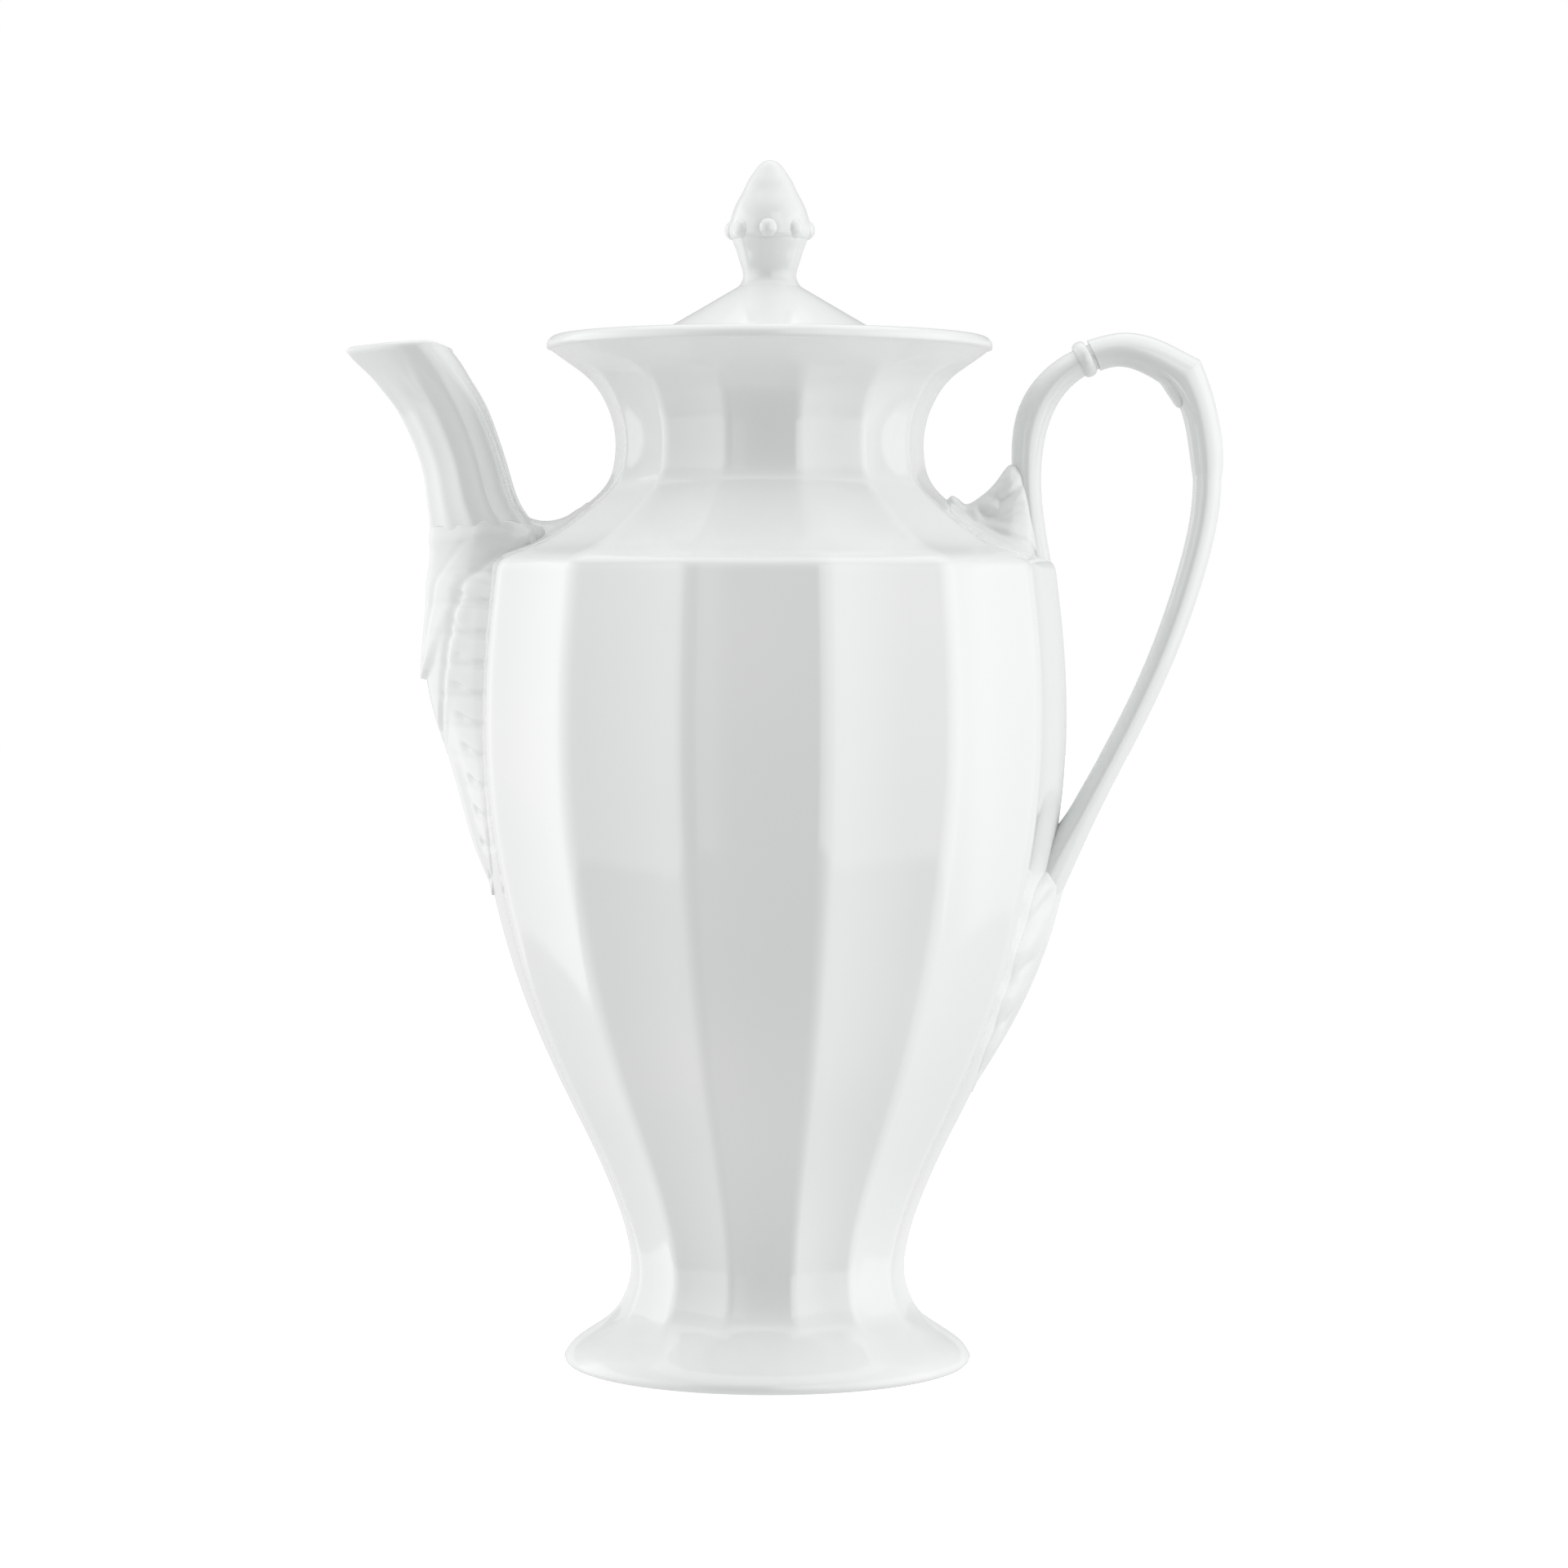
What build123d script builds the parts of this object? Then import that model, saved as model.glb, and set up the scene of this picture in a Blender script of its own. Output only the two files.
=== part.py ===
from build123d import *
import os
from math import cos, pi, sin, sqrt

# A fluted porcelain coffee pot with a high spout, a loop handle and a loose lid.
# Millimetres. +Z is up, the origin is the centre of the foot's ground ring,
# the handle is on +X and the spout on -X. The pot is the same on both sides of the XZ plane.

# ------------------------------------------------------------------ driving dimensions
FACETS = 14                 # long shallow flutes round the pot
FLUTE = 1.6                 # radius of a flute's hollow, as a share of the reach of its arrises
FLOOR_Z = 24.0              # underside of the bulb, where the foot is luted on
FLOOR_THICKNESS = 5.5
BULB_LOW_Z = 68.0           # joints between the three rings that the bulb is built from
BULB_HIGH_Z = 124.0
ARRIS_Z = 176.5             # the sharp edge where the shoulder is luted to the bulb
WAIST_Z = 202.0             # the neck's narrowest place, where it is luted to the shoulder

# Outline of the bulb from the foot joint to the shoulder arris:
# height, reach of the arrises between the flutes, radius that softens them.
BULB = [
    (FLOOR_Z, 30.5, 2.6),
    (33, 32.8, 2.8),
    (45, 37.8, 3.2),
    (60, 45.2, 3.8),
    (80, 54.0, 4.6),
    (100, 60.3, 5.1),
    (120, 64.1, 5.5),
    (139, 65.5, 5.6),
    (157, 65.0, 5.6),
    (169, 63.8, 5.5),
    (ARRIS_Z, 63.0, 5.4),
]
SHOULDER = [
    (ARRIS_Z, 63.0, 5.4),
    (178.1, 60.7, 5.2),
    (180.2, 54.5, 4.6),
    (184, 47.6, 4.0),
    (189.5, 41.0, 3.5),
    (196.5, 34.9, 3.0),
    (WAIST_Z, 33.9, 2.9),
]
NECK = [
    (WAIST_Z, 33.9, 2.9),
    (206, 34.2, 2.9),
    (210, 35.3, 3.2),
    (216.3, 39.0, 6),
    (221, 44.9, 28),
    (224, 48.4, 44),
]
LIP_RADIUS = 46.7           # centre line of the rolled rim
LIP_Z = 224.0
LIP_ROLL = 2.25             # radius of the roll

# Inside of the bulb: radius, height.
CAVITY_SIDE = [(26.8, 35), (39.2, 60), (47.8, 80), (58.0, 120), (59.6, 140), (58.0, 166)]
CAVITY_SHOULDER = [(54.5, 173.0), (46.0, 178.6), (37.2, 185.8), (31.2, 195.0)]
CAVITY_CORNER = 9.0         # how far the floor of the cavity is rounded up
NECK_BORE = 29.5
NECK_BORE_Z = 203.0
SEAT_RADIUS = 38.8          # outside of the flat ledge that carries the lid
SEAT_Z = 219.5

# Pedestal foot, same three values as the bulb.
FOOT = [
    (0, 43.0, 40),
    (1.4, 44.5, 41),
    (4, 43.2, 36),
    (7.5, 39.1, 14),
    (11.5, 34.5, 5),
    (16.5, 31.3, 2.8),
    (21.5, 30.3, 2.6),
    (FLOOR_Z, 30.5, 2.6),
]
FOOT_HOLLOW = [(37.0, 0), (36.4, 3), (30.5, 10), (27.0, 17), (26.0, FLOOR_Z)]

# Strainer behind the spout: the patch of the bulb's wall that is pierced.
STRAINER_WIDTH = 20.0
STRAINER_HEIGHT = 37.0
STRAINER_CORNER = 5.0
STRAINER_ROWS = 5
STRAINER_PITCH = 7.5
STRAINER_HOLE = 2.2         # radius
STRAINER_Z = 148.0

# Spout: height, front, back, half width. Below the shoulder its back is open to the bulb.
SPOUT = [
    (108, -60.0, -48.0, 5.0),
    (120, -64.4, -50.0, 8.0),
    (135, -69.2, -52.0, 10.3),
    (150, -73.4, -53.0, 11.4),
    (165, -75.0, -53.0, 11.2),
    (178, -74.6, -51.0, 10.5),
    (188, -75.1, -52.9, 9.8),
    (196, -76.3, -57.3, 9.2),
    (204, -78.9, -59.9, 8.8),
    (212, -83.2, -62.9, 8.8),
    (219, -88.8, -66.8, 9.0),
    (227, -97.5, -72.5, 9.2),
]
SPOUT_WALL = 2.8
SPOUT_CHANNEL_Z = 113.0     # lowest point of the channel
SPOUT_LIP_FRONT = (-93.1, 223.4)
SPOUT_LIP_BACK = (-70.0, 225.6)
# Corners of half a spout section: share of its length from front to back, share of its half width.
SPOUT_CORNERS = [(0, 0.22), (0.2, 0.68), (0.43, 0.95), (0.66, 1.0), (0.84, 0.76), (1.0, 0.34)]

# Leaf wrapped round the root of the spout, same four values as the spout.
ROOT_LEAF = [
    (104, -60.4, -46.0, 4.4),
    (112, -63.6, -47.0, 7.6),
    (122, -67.0, -49.0, 10.4),
    (136, -71.2, -50.0, 12.4),
    (151, -76.4, -52.0, 13.3),
    (165, -76.3, -52.0, 12.6),
    (176, -75.7, -52.0, 11.6),
]

# Leaf over the joint behind the spout, side outline.
SHOULDER_LEAF_TOP = [(-57.2, 195.0), (-53.8, 188.8), (-49.7, 185.6), (-44.6, 187.4), (-39.8, 190.6)]
SHOULDER_LEAF_FOOT = [(-38.6, 184.0), (-62.0, 174.0)]
SHOULDER_LEAF_WIDTH = 15.0

# Handle loop, side outline, from its shoulder root over the top to its lower root.
HANDLE_OUTSIDE = [
    (58.5, 168.0),
    (54.0, 188.0),
    (53.3, 201.0),
    (55.4, 212.4),
    (64.0, 222.2),
    (77.5, 226.0),
    (89.6, 220.0),
    (97.4, 206.6),
    (99.8, 195.5),
    (96.8, 177.0),
    (86.2, 148.9),
    (72.4, 120.9),
    (64.6, 104.0),
]
HANDLE_INSIDE = [
    (60.0, 110.0),
    (65.3, 121.0),
    (79.6, 148.0),
    (89.6, 175.0),
    (92.8, 194.0),
    (90.0, 209.4),
    (83.0, 218.4),
    (76.6, 220.0),
    (66.2, 215.4),
    (61.0, 206.0),
    (59.8, 194.0),
    (61.4, 180.3),
    (64.0, 168.0),
]
HANDLE_DEPTH = 9.6
HANDLE_SOFTNESS = 2.0

# Ring band on the handle's top.
RING_CENTRE = (68.8, 220.8)
RING_LEAN = -27.0           # degrees, square to the handle there
RING_ACROSS = 9.6
RING_ALONG = 2.4
RING_DEPTH = 11.4

# Leaf sheath from the ring to the thumb rest, side outline.
THUMB_LEAF_OUTSIDE = [(69.5, 225.6), (78.1, 227.4), (86.5, 225.4), (95.6, 221.3)]
THUMB_LEAF_BACK = [(95.6, 221.3), (97.4, 214.5), (99.4, 204.0), (99.7, 196.0)]
THUMB_LEAF_INSIDE = [(99.7, 196.0), (96.0, 205.0), (89.0, 216.0), (80.0, 221.8), (71.0, 222.6)]
THUMB_LEAF_DEPTH = 10.8

# Curled tip under the thumb rest, side outline.
CURL_OUTLINE = [(84.2, 219.0), (85.6, 213.2), (88.0, 210.6), (90.6, 211.4), (91.6, 215.0)]
CURL_DEPTH = 8.0

# Leaf bracket between handle and shoulder, side outline.
BRACKET_TOP = [(55.0, 201.0), (52.6, 197.8), (46.4, 191.3), (42.6, 189.9), (40.2, 191.8), (36.9, 192.1)]
BRACKET_FOOT = [(36.0, 184.0), (63.0, 170.0), (60.0, 190.0)]
BRACKET_DEPTH = 12.0

# Leaf that runs down the bulb under the handle, side outline.
TAIL_OUTSIDE = [(66.6, 109.0), (64.3, 101.4), (61.9, 94.0), (54.2, 76.0), (45.7, 61.5)]
TAIL_INSIDE = [(42.0, 64.0), (56.0, 110.0)]
TAIL_DEPTH = 13.0

# Lid.
LID_GAP = 0.3               # between the lid's flange and its seat
FLANGE_RADIUS = 38.3
FLANGE_THICKNESS = 2.2
CONE_TOP = (6.6, 237.6)     # where the cone meets the knob
CONE_FOOT = (30.0, 224.0)
LID_WALL = 3.2
COLLAR_OUTSIDE = 29.05
COLLAR_WALL = 3.0
COLLAR_DEPTH = 12.0
VENT_RADIUS = 1.5
VENT_Y = 19.0               # the vent is on the side that faces away from the drinker

# Knob.
KNOB_WAIST = (5.6, 239.8)
CUP_SIDE = [(6.1, 241.0), (7.2, 244.6), (8.5, 247.4)]
PEARL_Z = 249.6
PEARL_COUNT = 8
PEARL_RADIUS = 2.25
PEARL_CIRCLE = 7.4
CONE_SIDE = [(8.9, 251.5), (7.1, 255.9), (4.9, 260.2), (2.5, 264.0)]
TOP_Z = 265.4

HALF_FACET = pi / FACETS


# ------------------------------------------------------------------ shared shapes
def polar(radius, angle):
    return Vector(radius * cos(angle), radius * sin(angle), 0)


def fluted_section(z, reach, softness):
    """Shallow hollows all round, with a softened arris between each two of them."""
    hollow = FLUTE * reach
    corner = reach - softness
    away = corner * cos(HALF_FACET) + sqrt((hollow + softness) ** 2 - (corner * sin(HALF_FACET)) ** 2)

    def meeting(middle, side):
        """Point where the hollow centred on an angle runs into the arris beside it."""
        arris_centre = polar(corner, middle + side * HALF_FACET)
        hollow_centre = polar(away, middle)
        return arris_centre + (hollow_centre - arris_centre) * softness / (hollow + softness)

    edges = []
    for facet in range(FACETS):
        middle = (2 * facet + 1) * HALF_FACET
        start = meeting(middle, -1)
        end = meeting(middle, 1)
        following = meeting(middle + 2 * HALF_FACET, -1)
        edges.append(ThreePointArc(start, polar(away - hollow, middle), end))
        edges.append(ThreePointArc(end, polar(reach, middle + HALF_FACET), following))
    return Plane.XY.offset(z) * make_face(edges)


def fluted_solid(stations):
    return loft([fluted_section(*station) for station in stations])


def side_plate(*edges, depth):
    """Closed outline in the XZ plane, thickened evenly to both sides of it."""
    return extrude(Plane.XZ * make_face(list(edges)), amount=depth / 2, both=True)


def turned(*edges):
    """Solid of revolution about +Z from edges given as radius and height."""
    return revolve(Plane.XZ * make_face(list(edges)), Axis.Z)


def spout_section(z, front, back, half_width):
    length = back - front
    side = [(front + share * length, width * half_width) for share, width in SPOUT_CORNERS]
    other = [(x, -y) for x, y in reversed(side)]
    return Plane.XY.offset(z) * make_face(Polyline(*side, *other, close=True))


def one_solid(shape):
    """The largest solid of a cut, without crumbs."""
    return max(shape.solids(), key=lambda solid: solid.volume)


# ------------------------------------------------------------------ pot
def rolled_lip():
    return turned(CenterArc((LIP_RADIUS, LIP_Z), LIP_ROLL, 0, 360))


def vessel_outside():
    return fluted_solid(BULB) + fluted_solid(SHOULDER) + fluted_solid(NECK) + rolled_lip()


def cavity():
    floor = FLOOR_Z + FLOOR_THICKNESS
    start = (CAVITY_SIDE[0][0] - CAVITY_CORNER, floor)
    bore_start = (NECK_BORE, NECK_BORE_Z)
    wall = Spline(start, *CAVITY_SIDE, *CAVITY_SHOULDER, bore_start, tangents=[(1, 0), (0, 1)])
    rim_inside = (LIP_RADIUS - LIP_ROLL, LIP_Z)
    above = LIP_Z + 2 * LIP_ROLL
    return turned(
        Line((0, floor), start),
        wall,
        Polyline(bore_start, (NECK_BORE, SEAT_Z), (SEAT_RADIUS, SEAT_Z)),
        Spline((SEAT_RADIUS, SEAT_Z), rim_inside, tangents=[(0.3, 1), (0.6, 1)]),
        Polyline(rim_inside, (rim_inside[0], above), (0, above), (0, floor)),
    )


def ring_between(shape, low, high):
    """The part of a shape between two heights."""
    slab = Box(300, 300, high - low, align=(Align.CENTER, Align.CENTER, Align.MIN))
    return shape & (Pos(0, 0, low) * slab)


def towards_spout(y, z):
    """Plane inside the bulb that faces the spout, centred at a side offset and a height."""
    return Plane(origin=(-45, y, z), x_dir=(0, 1, 0), z_dir=(-1, 0, 0))


def strainer_patch():
    outline = RectangleRounded(STRAINER_WIDTH, STRAINER_HEIGHT, STRAINER_CORNER)
    return extrude(towards_spout(0, STRAINER_Z) * outline, amount=30)


def strainer_holes():
    holes = Part()
    for row in range(STRAINER_ROWS):
        count = 3 - row % 2
        z = STRAINER_Z + (row - STRAINER_ROWS // 2) * STRAINER_PITCH
        for place in range(count):
            y = (place - (count - 1) / 2) * STRAINER_PITCH
            holes += extrude(towards_spout(y, z) * Circle(STRAINER_HOLE), amount=30)
    return holes


def pedestal_foot():
    hollow = turned(
        Spline(*FOOT_HOLLOW),
        Polyline(FOOT_HOLLOW[-1], (0, FLOOR_Z), (0, 0), FOOT_HOLLOW[0]),
    )
    return fluted_solid(FOOT) - hollow


def spout_outside():
    tall = loft([spout_section(*station) for station in SPOUT])
    front_x, front_z = SPOUT_LIP_FRONT
    back_x, back_z = SPOUT_LIP_BACK
    corner = (back_x + 8.5, back_z - 12.5)
    keep = side_plate(
        Polyline(corner, (-20, corner[1]), (-20, 90), (front_x - 10, 90), (front_x - 10, front_z - 1)),
        Polyline((front_x - 10, front_z - 1), SPOUT_LIP_FRONT, (back_x - 3, back_z)),
        Spline((back_x - 3, back_z), corner, tangents=[(1, 0), (0.45, -1)]),
        depth=60,
    )
    return tall & keep


def spout_channel():
    stations = []
    for z, front, back, half_width in SPOUT:
        stations.append((z, front + SPOUT_WALL, back - SPOUT_WALL, half_width - SPOUT_WALL))
    inner = loft([spout_section(*station) for station in stations])
    below = Box(80, 40, 40, align=(Align.CENTER, Align.CENTER, Align.MAX))
    return inner - Pos(-60, 0, SPOUT_CHANNEL_Z) * below


def root_leaf():
    return loft([spout_section(*station) for station in ROOT_LEAF])


def shoulder_leaf():
    return side_plate(
        Spline(*SHOULDER_LEAF_TOP),
        Polyline(SHOULDER_LEAF_TOP[-1], *SHOULDER_LEAF_FOOT, SHOULDER_LEAF_TOP[0]),
        depth=SHOULDER_LEAF_WIDTH,
    )


# ------------------------------------------------------------------ handle
def handle_loop():
    plate = side_plate(
        Spline(*HANDLE_OUTSIDE),
        Line(HANDLE_OUTSIDE[-1], HANDLE_INSIDE[0]),
        Spline(*HANDLE_INSIDE),
        Line(HANDLE_INSIDE[-1], HANDLE_OUTSIDE[0]),
        depth=HANDLE_DEPTH,
    )
    long_edges = plate.edges().filter_by(GeomType.BSPLINE)
    return fillet(long_edges, HANDLE_SOFTNESS)


def handle_ring():
    x, z = RING_CENTRE
    block = Box(RING_ALONG, RING_DEPTH, RING_ACROSS)
    block = fillet(block.edges(), RING_ALONG * 0.4)
    return Pos(x, 0, z) * Rot(0, RING_LEAN, 0) * block


def thumb_leaf():
    return side_plate(
        Spline(*THUMB_LEAF_OUTSIDE),
        Spline(*THUMB_LEAF_BACK),
        Spline(*THUMB_LEAF_INSIDE),
        Line(THUMB_LEAF_INSIDE[-1], THUMB_LEAF_OUTSIDE[0]),
        depth=THUMB_LEAF_DEPTH,
    )


def curl_leaf():
    return side_plate(
        Spline(*CURL_OUTLINE),
        Line(CURL_OUTLINE[-1], CURL_OUTLINE[0]),
        depth=CURL_DEPTH,
    )


def bracket():
    return side_plate(
        Spline(*BRACKET_TOP),
        Polyline(BRACKET_TOP[-1], *BRACKET_FOOT, BRACKET_TOP[0]),
        depth=BRACKET_DEPTH,
    )


def tail_leaf():
    return side_plate(
        Spline(*TAIL_OUTSIDE),
        Polyline(TAIL_OUTSIDE[-1], *TAIL_INSIDE, TAIL_OUTSIDE[0]),
        depth=TAIL_DEPTH,
    )


# ------------------------------------------------------------------ lid
def lid_dome():
    under = SEAT_Z + LID_GAP
    rim_top = under + FLANGE_THICKNESS
    bore = COLLAR_OUTSIDE - COLLAR_WALL
    plate = turned(
        Polyline((0, CONE_TOP[1]), (0, under), (FLANGE_RADIUS, under), (FLANGE_RADIUS, rim_top)),
        Spline((FLANGE_RADIUS, rim_top), CONE_FOOT, CONE_TOP, tangents=[(-1, 0.1), (-1, 0.6)]),
        Line(CONE_TOP, (0, CONE_TOP[1])),
    )
    hollow_top = CONE_TOP[1] - LID_WALL
    slope = (CONE_TOP[1] - CONE_FOOT[1]) / (CONE_FOOT[0] - CONE_TOP[0])
    hollow_edge = CONE_FOOT[1] + (CONE_FOOT[0] - bore) * slope - LID_WALL
    hollow = turned(
        Polyline((0, under), (bore, under), (bore, hollow_edge), (CONE_TOP[0], hollow_top - 1)),
        Line((CONE_TOP[0], hollow_top - 1), (0, hollow_top - 1)),
        Line((0, hollow_top - 1), (0, under)),
    )
    vent = Pos(0, VENT_Y, CONE_FOOT[1]) * Cylinder(VENT_RADIUS, 40)
    return plate - hollow - vent


def lid_collar():
    under = SEAT_Z + LID_GAP
    inside = COLLAR_OUTSIDE - COLLAR_WALL
    ring = Cylinder(COLLAR_OUTSIDE, COLLAR_DEPTH) - Cylinder(inside, COLLAR_DEPTH)
    placed = Pos(0, 0, under - COLLAR_DEPTH / 2) * ring
    return chamfer(placed.edges().group_by(Axis.Z)[0], COLLAR_WALL * 0.25)


def knob_cup():
    top = (PEARL_CIRCLE, PEARL_Z)
    return turned(
        Line((0, CONE_TOP[1]), CONE_TOP),
        Spline(CONE_TOP, KNOB_WAIST, *CUP_SIDE, top),
        Polyline(top, (0, PEARL_Z), (0, CONE_TOP[1])),
    )


def knob_cone():
    start = (PEARL_CIRCLE, PEARL_Z)
    return turned(
        Polyline((0, TOP_Z), (0, PEARL_Z), start),
        Spline(start, *CONE_SIDE, (0, TOP_Z)),
    )


def knob_pearls():
    pearl = Pos(PEARL_CIRCLE, 0, PEARL_Z) * Sphere(PEARL_RADIUS)
    return [Rot(0, 0, place * 360 / PEARL_COUNT) * pearl for place in range(PEARL_COUNT)]


# ------------------------------------------------------------------ assembly
def build():
    """Every node by name. Luted pieces meet face to face: the later one is cut to the earlier."""
    outside = vessel_outside()
    inside = cavity()
    spout = spout_outside()
    loop = handle_loop() - outside
    ring = handle_ring()
    pearls = knob_pearls()
    bulb = fluted_solid(BULB) - inside
    patch = strainer_patch()
    nodes = {
        "bulb_base_shell": ring_between(bulb, FLOOR_Z, BULB_LOW_Z),
        "bulb_middle_shell": ring_between(bulb, BULB_LOW_Z, BULB_HIGH_Z),
        "bulb_upper_shell": ring_between(bulb, BULB_HIGH_Z, ARRIS_Z) - patch,
        "strainer_wall": (bulb & patch) - strainer_holes(),
        "shoulder_shell": fluted_solid(SHOULDER) - inside,
        "neck_shell": fluted_solid(NECK) - inside + rolled_lip(),
        "pedestal_foot": pedestal_foot(),
        "spout_tube": one_solid(spout - spout_channel() - outside),
        "spout_root_leaf": one_solid(root_leaf() - spout - outside),
        "spout_shoulder_leaf": one_solid(shoulder_leaf() - spout - outside),
        "handle_loop": one_solid(loop),
        "handle_ring": ring - loop,
        "handle_thumb_leaf": one_solid(thumb_leaf() - loop - ring),
        "handle_curl_leaf": one_solid(curl_leaf() - loop),
        "handle_bracket": one_solid(bracket() - loop - outside),
        "handle_tail_leaf": one_solid(tail_leaf() - loop - outside),
        "lid_dome": lid_dome(),
        "lid_collar": lid_collar(),
        "knob_cup": knob_cup() - pearls,
        "knob_cone": knob_cone() - pearls,
        "knob_pearls": Compound(children=pearls),
    }
    return nodes


os.makedirs("parts", exist_ok=True)
for name, shape in build().items():
    export_step(shape, f"parts/{name}.step")
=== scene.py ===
import math

import bpy
import numpy as np
from mathutils import Matrix, Vector


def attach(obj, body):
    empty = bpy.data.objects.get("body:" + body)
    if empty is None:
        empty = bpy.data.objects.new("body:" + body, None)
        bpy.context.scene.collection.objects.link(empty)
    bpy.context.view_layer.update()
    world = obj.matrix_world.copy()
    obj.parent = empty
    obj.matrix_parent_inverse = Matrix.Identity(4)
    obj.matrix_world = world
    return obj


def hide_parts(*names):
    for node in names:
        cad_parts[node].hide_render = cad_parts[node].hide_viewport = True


# A fluted white porcelain coffee pot. Outlines are in millimetres in the CAD frame:
# +Z up from the ground ring, handle on +X, spout on -X. MM turns them into metres.
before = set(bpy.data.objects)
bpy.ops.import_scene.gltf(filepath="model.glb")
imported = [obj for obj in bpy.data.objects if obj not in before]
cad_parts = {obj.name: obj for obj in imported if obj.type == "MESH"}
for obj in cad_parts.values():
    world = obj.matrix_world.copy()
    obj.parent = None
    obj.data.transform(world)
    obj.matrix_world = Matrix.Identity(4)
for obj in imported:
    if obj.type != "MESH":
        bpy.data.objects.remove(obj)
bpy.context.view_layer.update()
MM = 0.001

# ------------------------------------------------------------------ camera
# Metres from the pot's axis and over the ground. The camera stands in front, a little to the right.
CAMERA_DISTANCE = 0.965
CAMERA_AZIMUTH = math.radians(2.5)
EYE_HEIGHT = 0.167
AIM_HEIGHT = 0.128
AIM_RIGHT = 0.0034
CAMERA_ROLL = math.radians(0.14)
LENS = 100.5                # focal length in millimetres, on a sensor 36 mm wide


def make_camera():
    data = bpy.data.cameras.new("camera")
    data.lens = LENS
    data.sensor_width = 36
    camera = bpy.data.objects.new("camera", data)
    bpy.context.scene.collection.objects.link(camera)
    right = Vector((math.cos(CAMERA_AZIMUTH), math.sin(CAMERA_AZIMUTH), 0))
    back = Vector((math.sin(CAMERA_AZIMUTH), -math.cos(CAMERA_AZIMUTH), 0))
    place = back * CAMERA_DISTANCE + Vector((0, 0, EYE_HEIGHT))
    aim = right * AIM_RIGHT + Vector((0, 0, AIM_HEIGHT))
    turn = (aim - place).to_track_quat("-Z", "Y").to_matrix().to_4x4()
    camera.matrix_world = Matrix.Translation(place) @ turn @ Matrix.Rotation(CAMERA_ROLL, 4, "Z")
    bpy.context.scene.camera = camera


make_camera()

# ------------------------------------------------------------------ outlines, as in the CAD source
FACETS = 14
HALF_FACET = math.pi / FACETS
FLUTE = 1.6                 # radius of a flute's hollow, as a share of the arris reach
ARRIS_Z = 176.5             # the sharp edge between bulb and shoulder
GLAZE_SOFTNESS = 1.4        # how much the glaze rounds the arrises beyond their cast radius
# Height, reach of the arrises, radius that softens them.
FOOT = [
    (1.6, 44.95, 2.6),
    (4, 43.3, 2.6),
    (7.5, 38.3, 2.6),
    (11.5, 33.7, 2.6),
    (16.5, 31.1, 2.6),
    (21.5, 30.3, 2.6),
]
BULB = [
    (27.3, 31.1, 2.7),
    (33, 32.7, 2.8),
    (45, 37.6, 3.2),
    (60, 45.0, 3.8),
    (80, 53.8, 4.6),
    (100, 60.0, 5.1),
    (120, 64.0, 5.5),
    (139, 65.5, 5.6),
    (157, 65.0, 5.6),
    (169, 63.8, 5.5),
    (176.5, 62.9, 5.4),
]
SHOULDER = [
    (176.5, 62.9, 5.4),
    (178.1, 60.2, 5.2),
    (180.2, 54.4, 4.6),
    (184, 47.5, 4.0),
    (189.5, 40.3, 3.5),
    (193, 36.6, 3.2),
    (196.5, 34.7, 3.0),
    (202, 33.9, 2.9),
    (206, 34.2, 2.9),
    (210, 35.3, 3.0),
    (216.3, 39.0, 3.3),
    (221, 44.9, 3.8),
    (223.4, 48.2, 4.0),
]
LIP_RADIUS = 46.9
LIP_Z = 224.2
LIP_ROLL = 2.05


# ------------------------------------------------------------------ lines and skins
def spline(points, steps):
    """Smooth line through points of any number of columns: a natural cubic spline."""
    p = np.asarray(points, float)
    t = np.concatenate([[0], np.cumsum(np.sqrt(np.linalg.norm(np.diff(p, axis=0), axis=1)))])
    h = np.diff(t)
    n = len(p)
    a = np.eye(n)
    rhs = np.zeros_like(p)
    for i in range(1, n - 1):
        a[i, i - 1:i + 2] = h[i - 1], 2 * (h[i - 1] + h[i]), h[i]
        rhs[i] = 6 * ((p[i + 1] - p[i]) / h[i] - (p[i] - p[i - 1]) / h[i - 1])
    m = np.linalg.solve(a, rhs)
    s = np.linspace(0, t[-1], steps)
    k = np.clip(np.searchsorted(t, s, side="right") - 1, 0, n - 2)
    u = (s - t[k])[:, None]
    v = (t[k + 1] - s)[:, None]
    w = h[k][:, None]
    cubic = (m[k] * v ** 3 + m[k + 1] * u ** 3) / (6 * w)
    return cubic + (p[k] / w - m[k] * w / 6) * v + (p[k + 1] / w - m[k + 1] * w / 6) * u


def distances(line):
    """How far along a line each of its points is, measured in its first two columns."""
    gaps = np.linalg.norm(np.diff(line[:, :2], axis=0), axis=1)
    return np.concatenate([[0], np.cumsum(gaps)])


def resample(line, count):
    """The same line as a number of evenly spaced points."""
    along = distances(line)
    places = np.linspace(0, along[-1], count)
    return np.column_stack([np.interp(places, along, column) for column in line.T])


def evenly(line, step):
    """The same line with points about one step apart."""
    return resample(line, max(3, int(round(distances(line)[-1] / step)) + 1))


def smooth_between(value, low, high):
    """0 below low, 1 above high, and an even turn between them."""
    t = np.clip((np.asarray(value, float) - low) / (high - low), 0, 1)
    return t * t * (3 - 2 * t)


def link(name, mesh, material, body, *nodes, slot="glazed_porcelain"):
    """A finished piece: smooth, with its material, riding on its body in place of the CAD nodes."""
    mesh.polygons.foreach_set("use_smooth", np.ones(len(mesh.polygons), bool))
    if material:
        mesh.materials.append(material)
    piece = bpy.data.objects.new(name, mesh)
    bpy.context.scene.collection.objects.link(piece)
    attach(piece, body)
    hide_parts(*nodes)
    return piece


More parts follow.
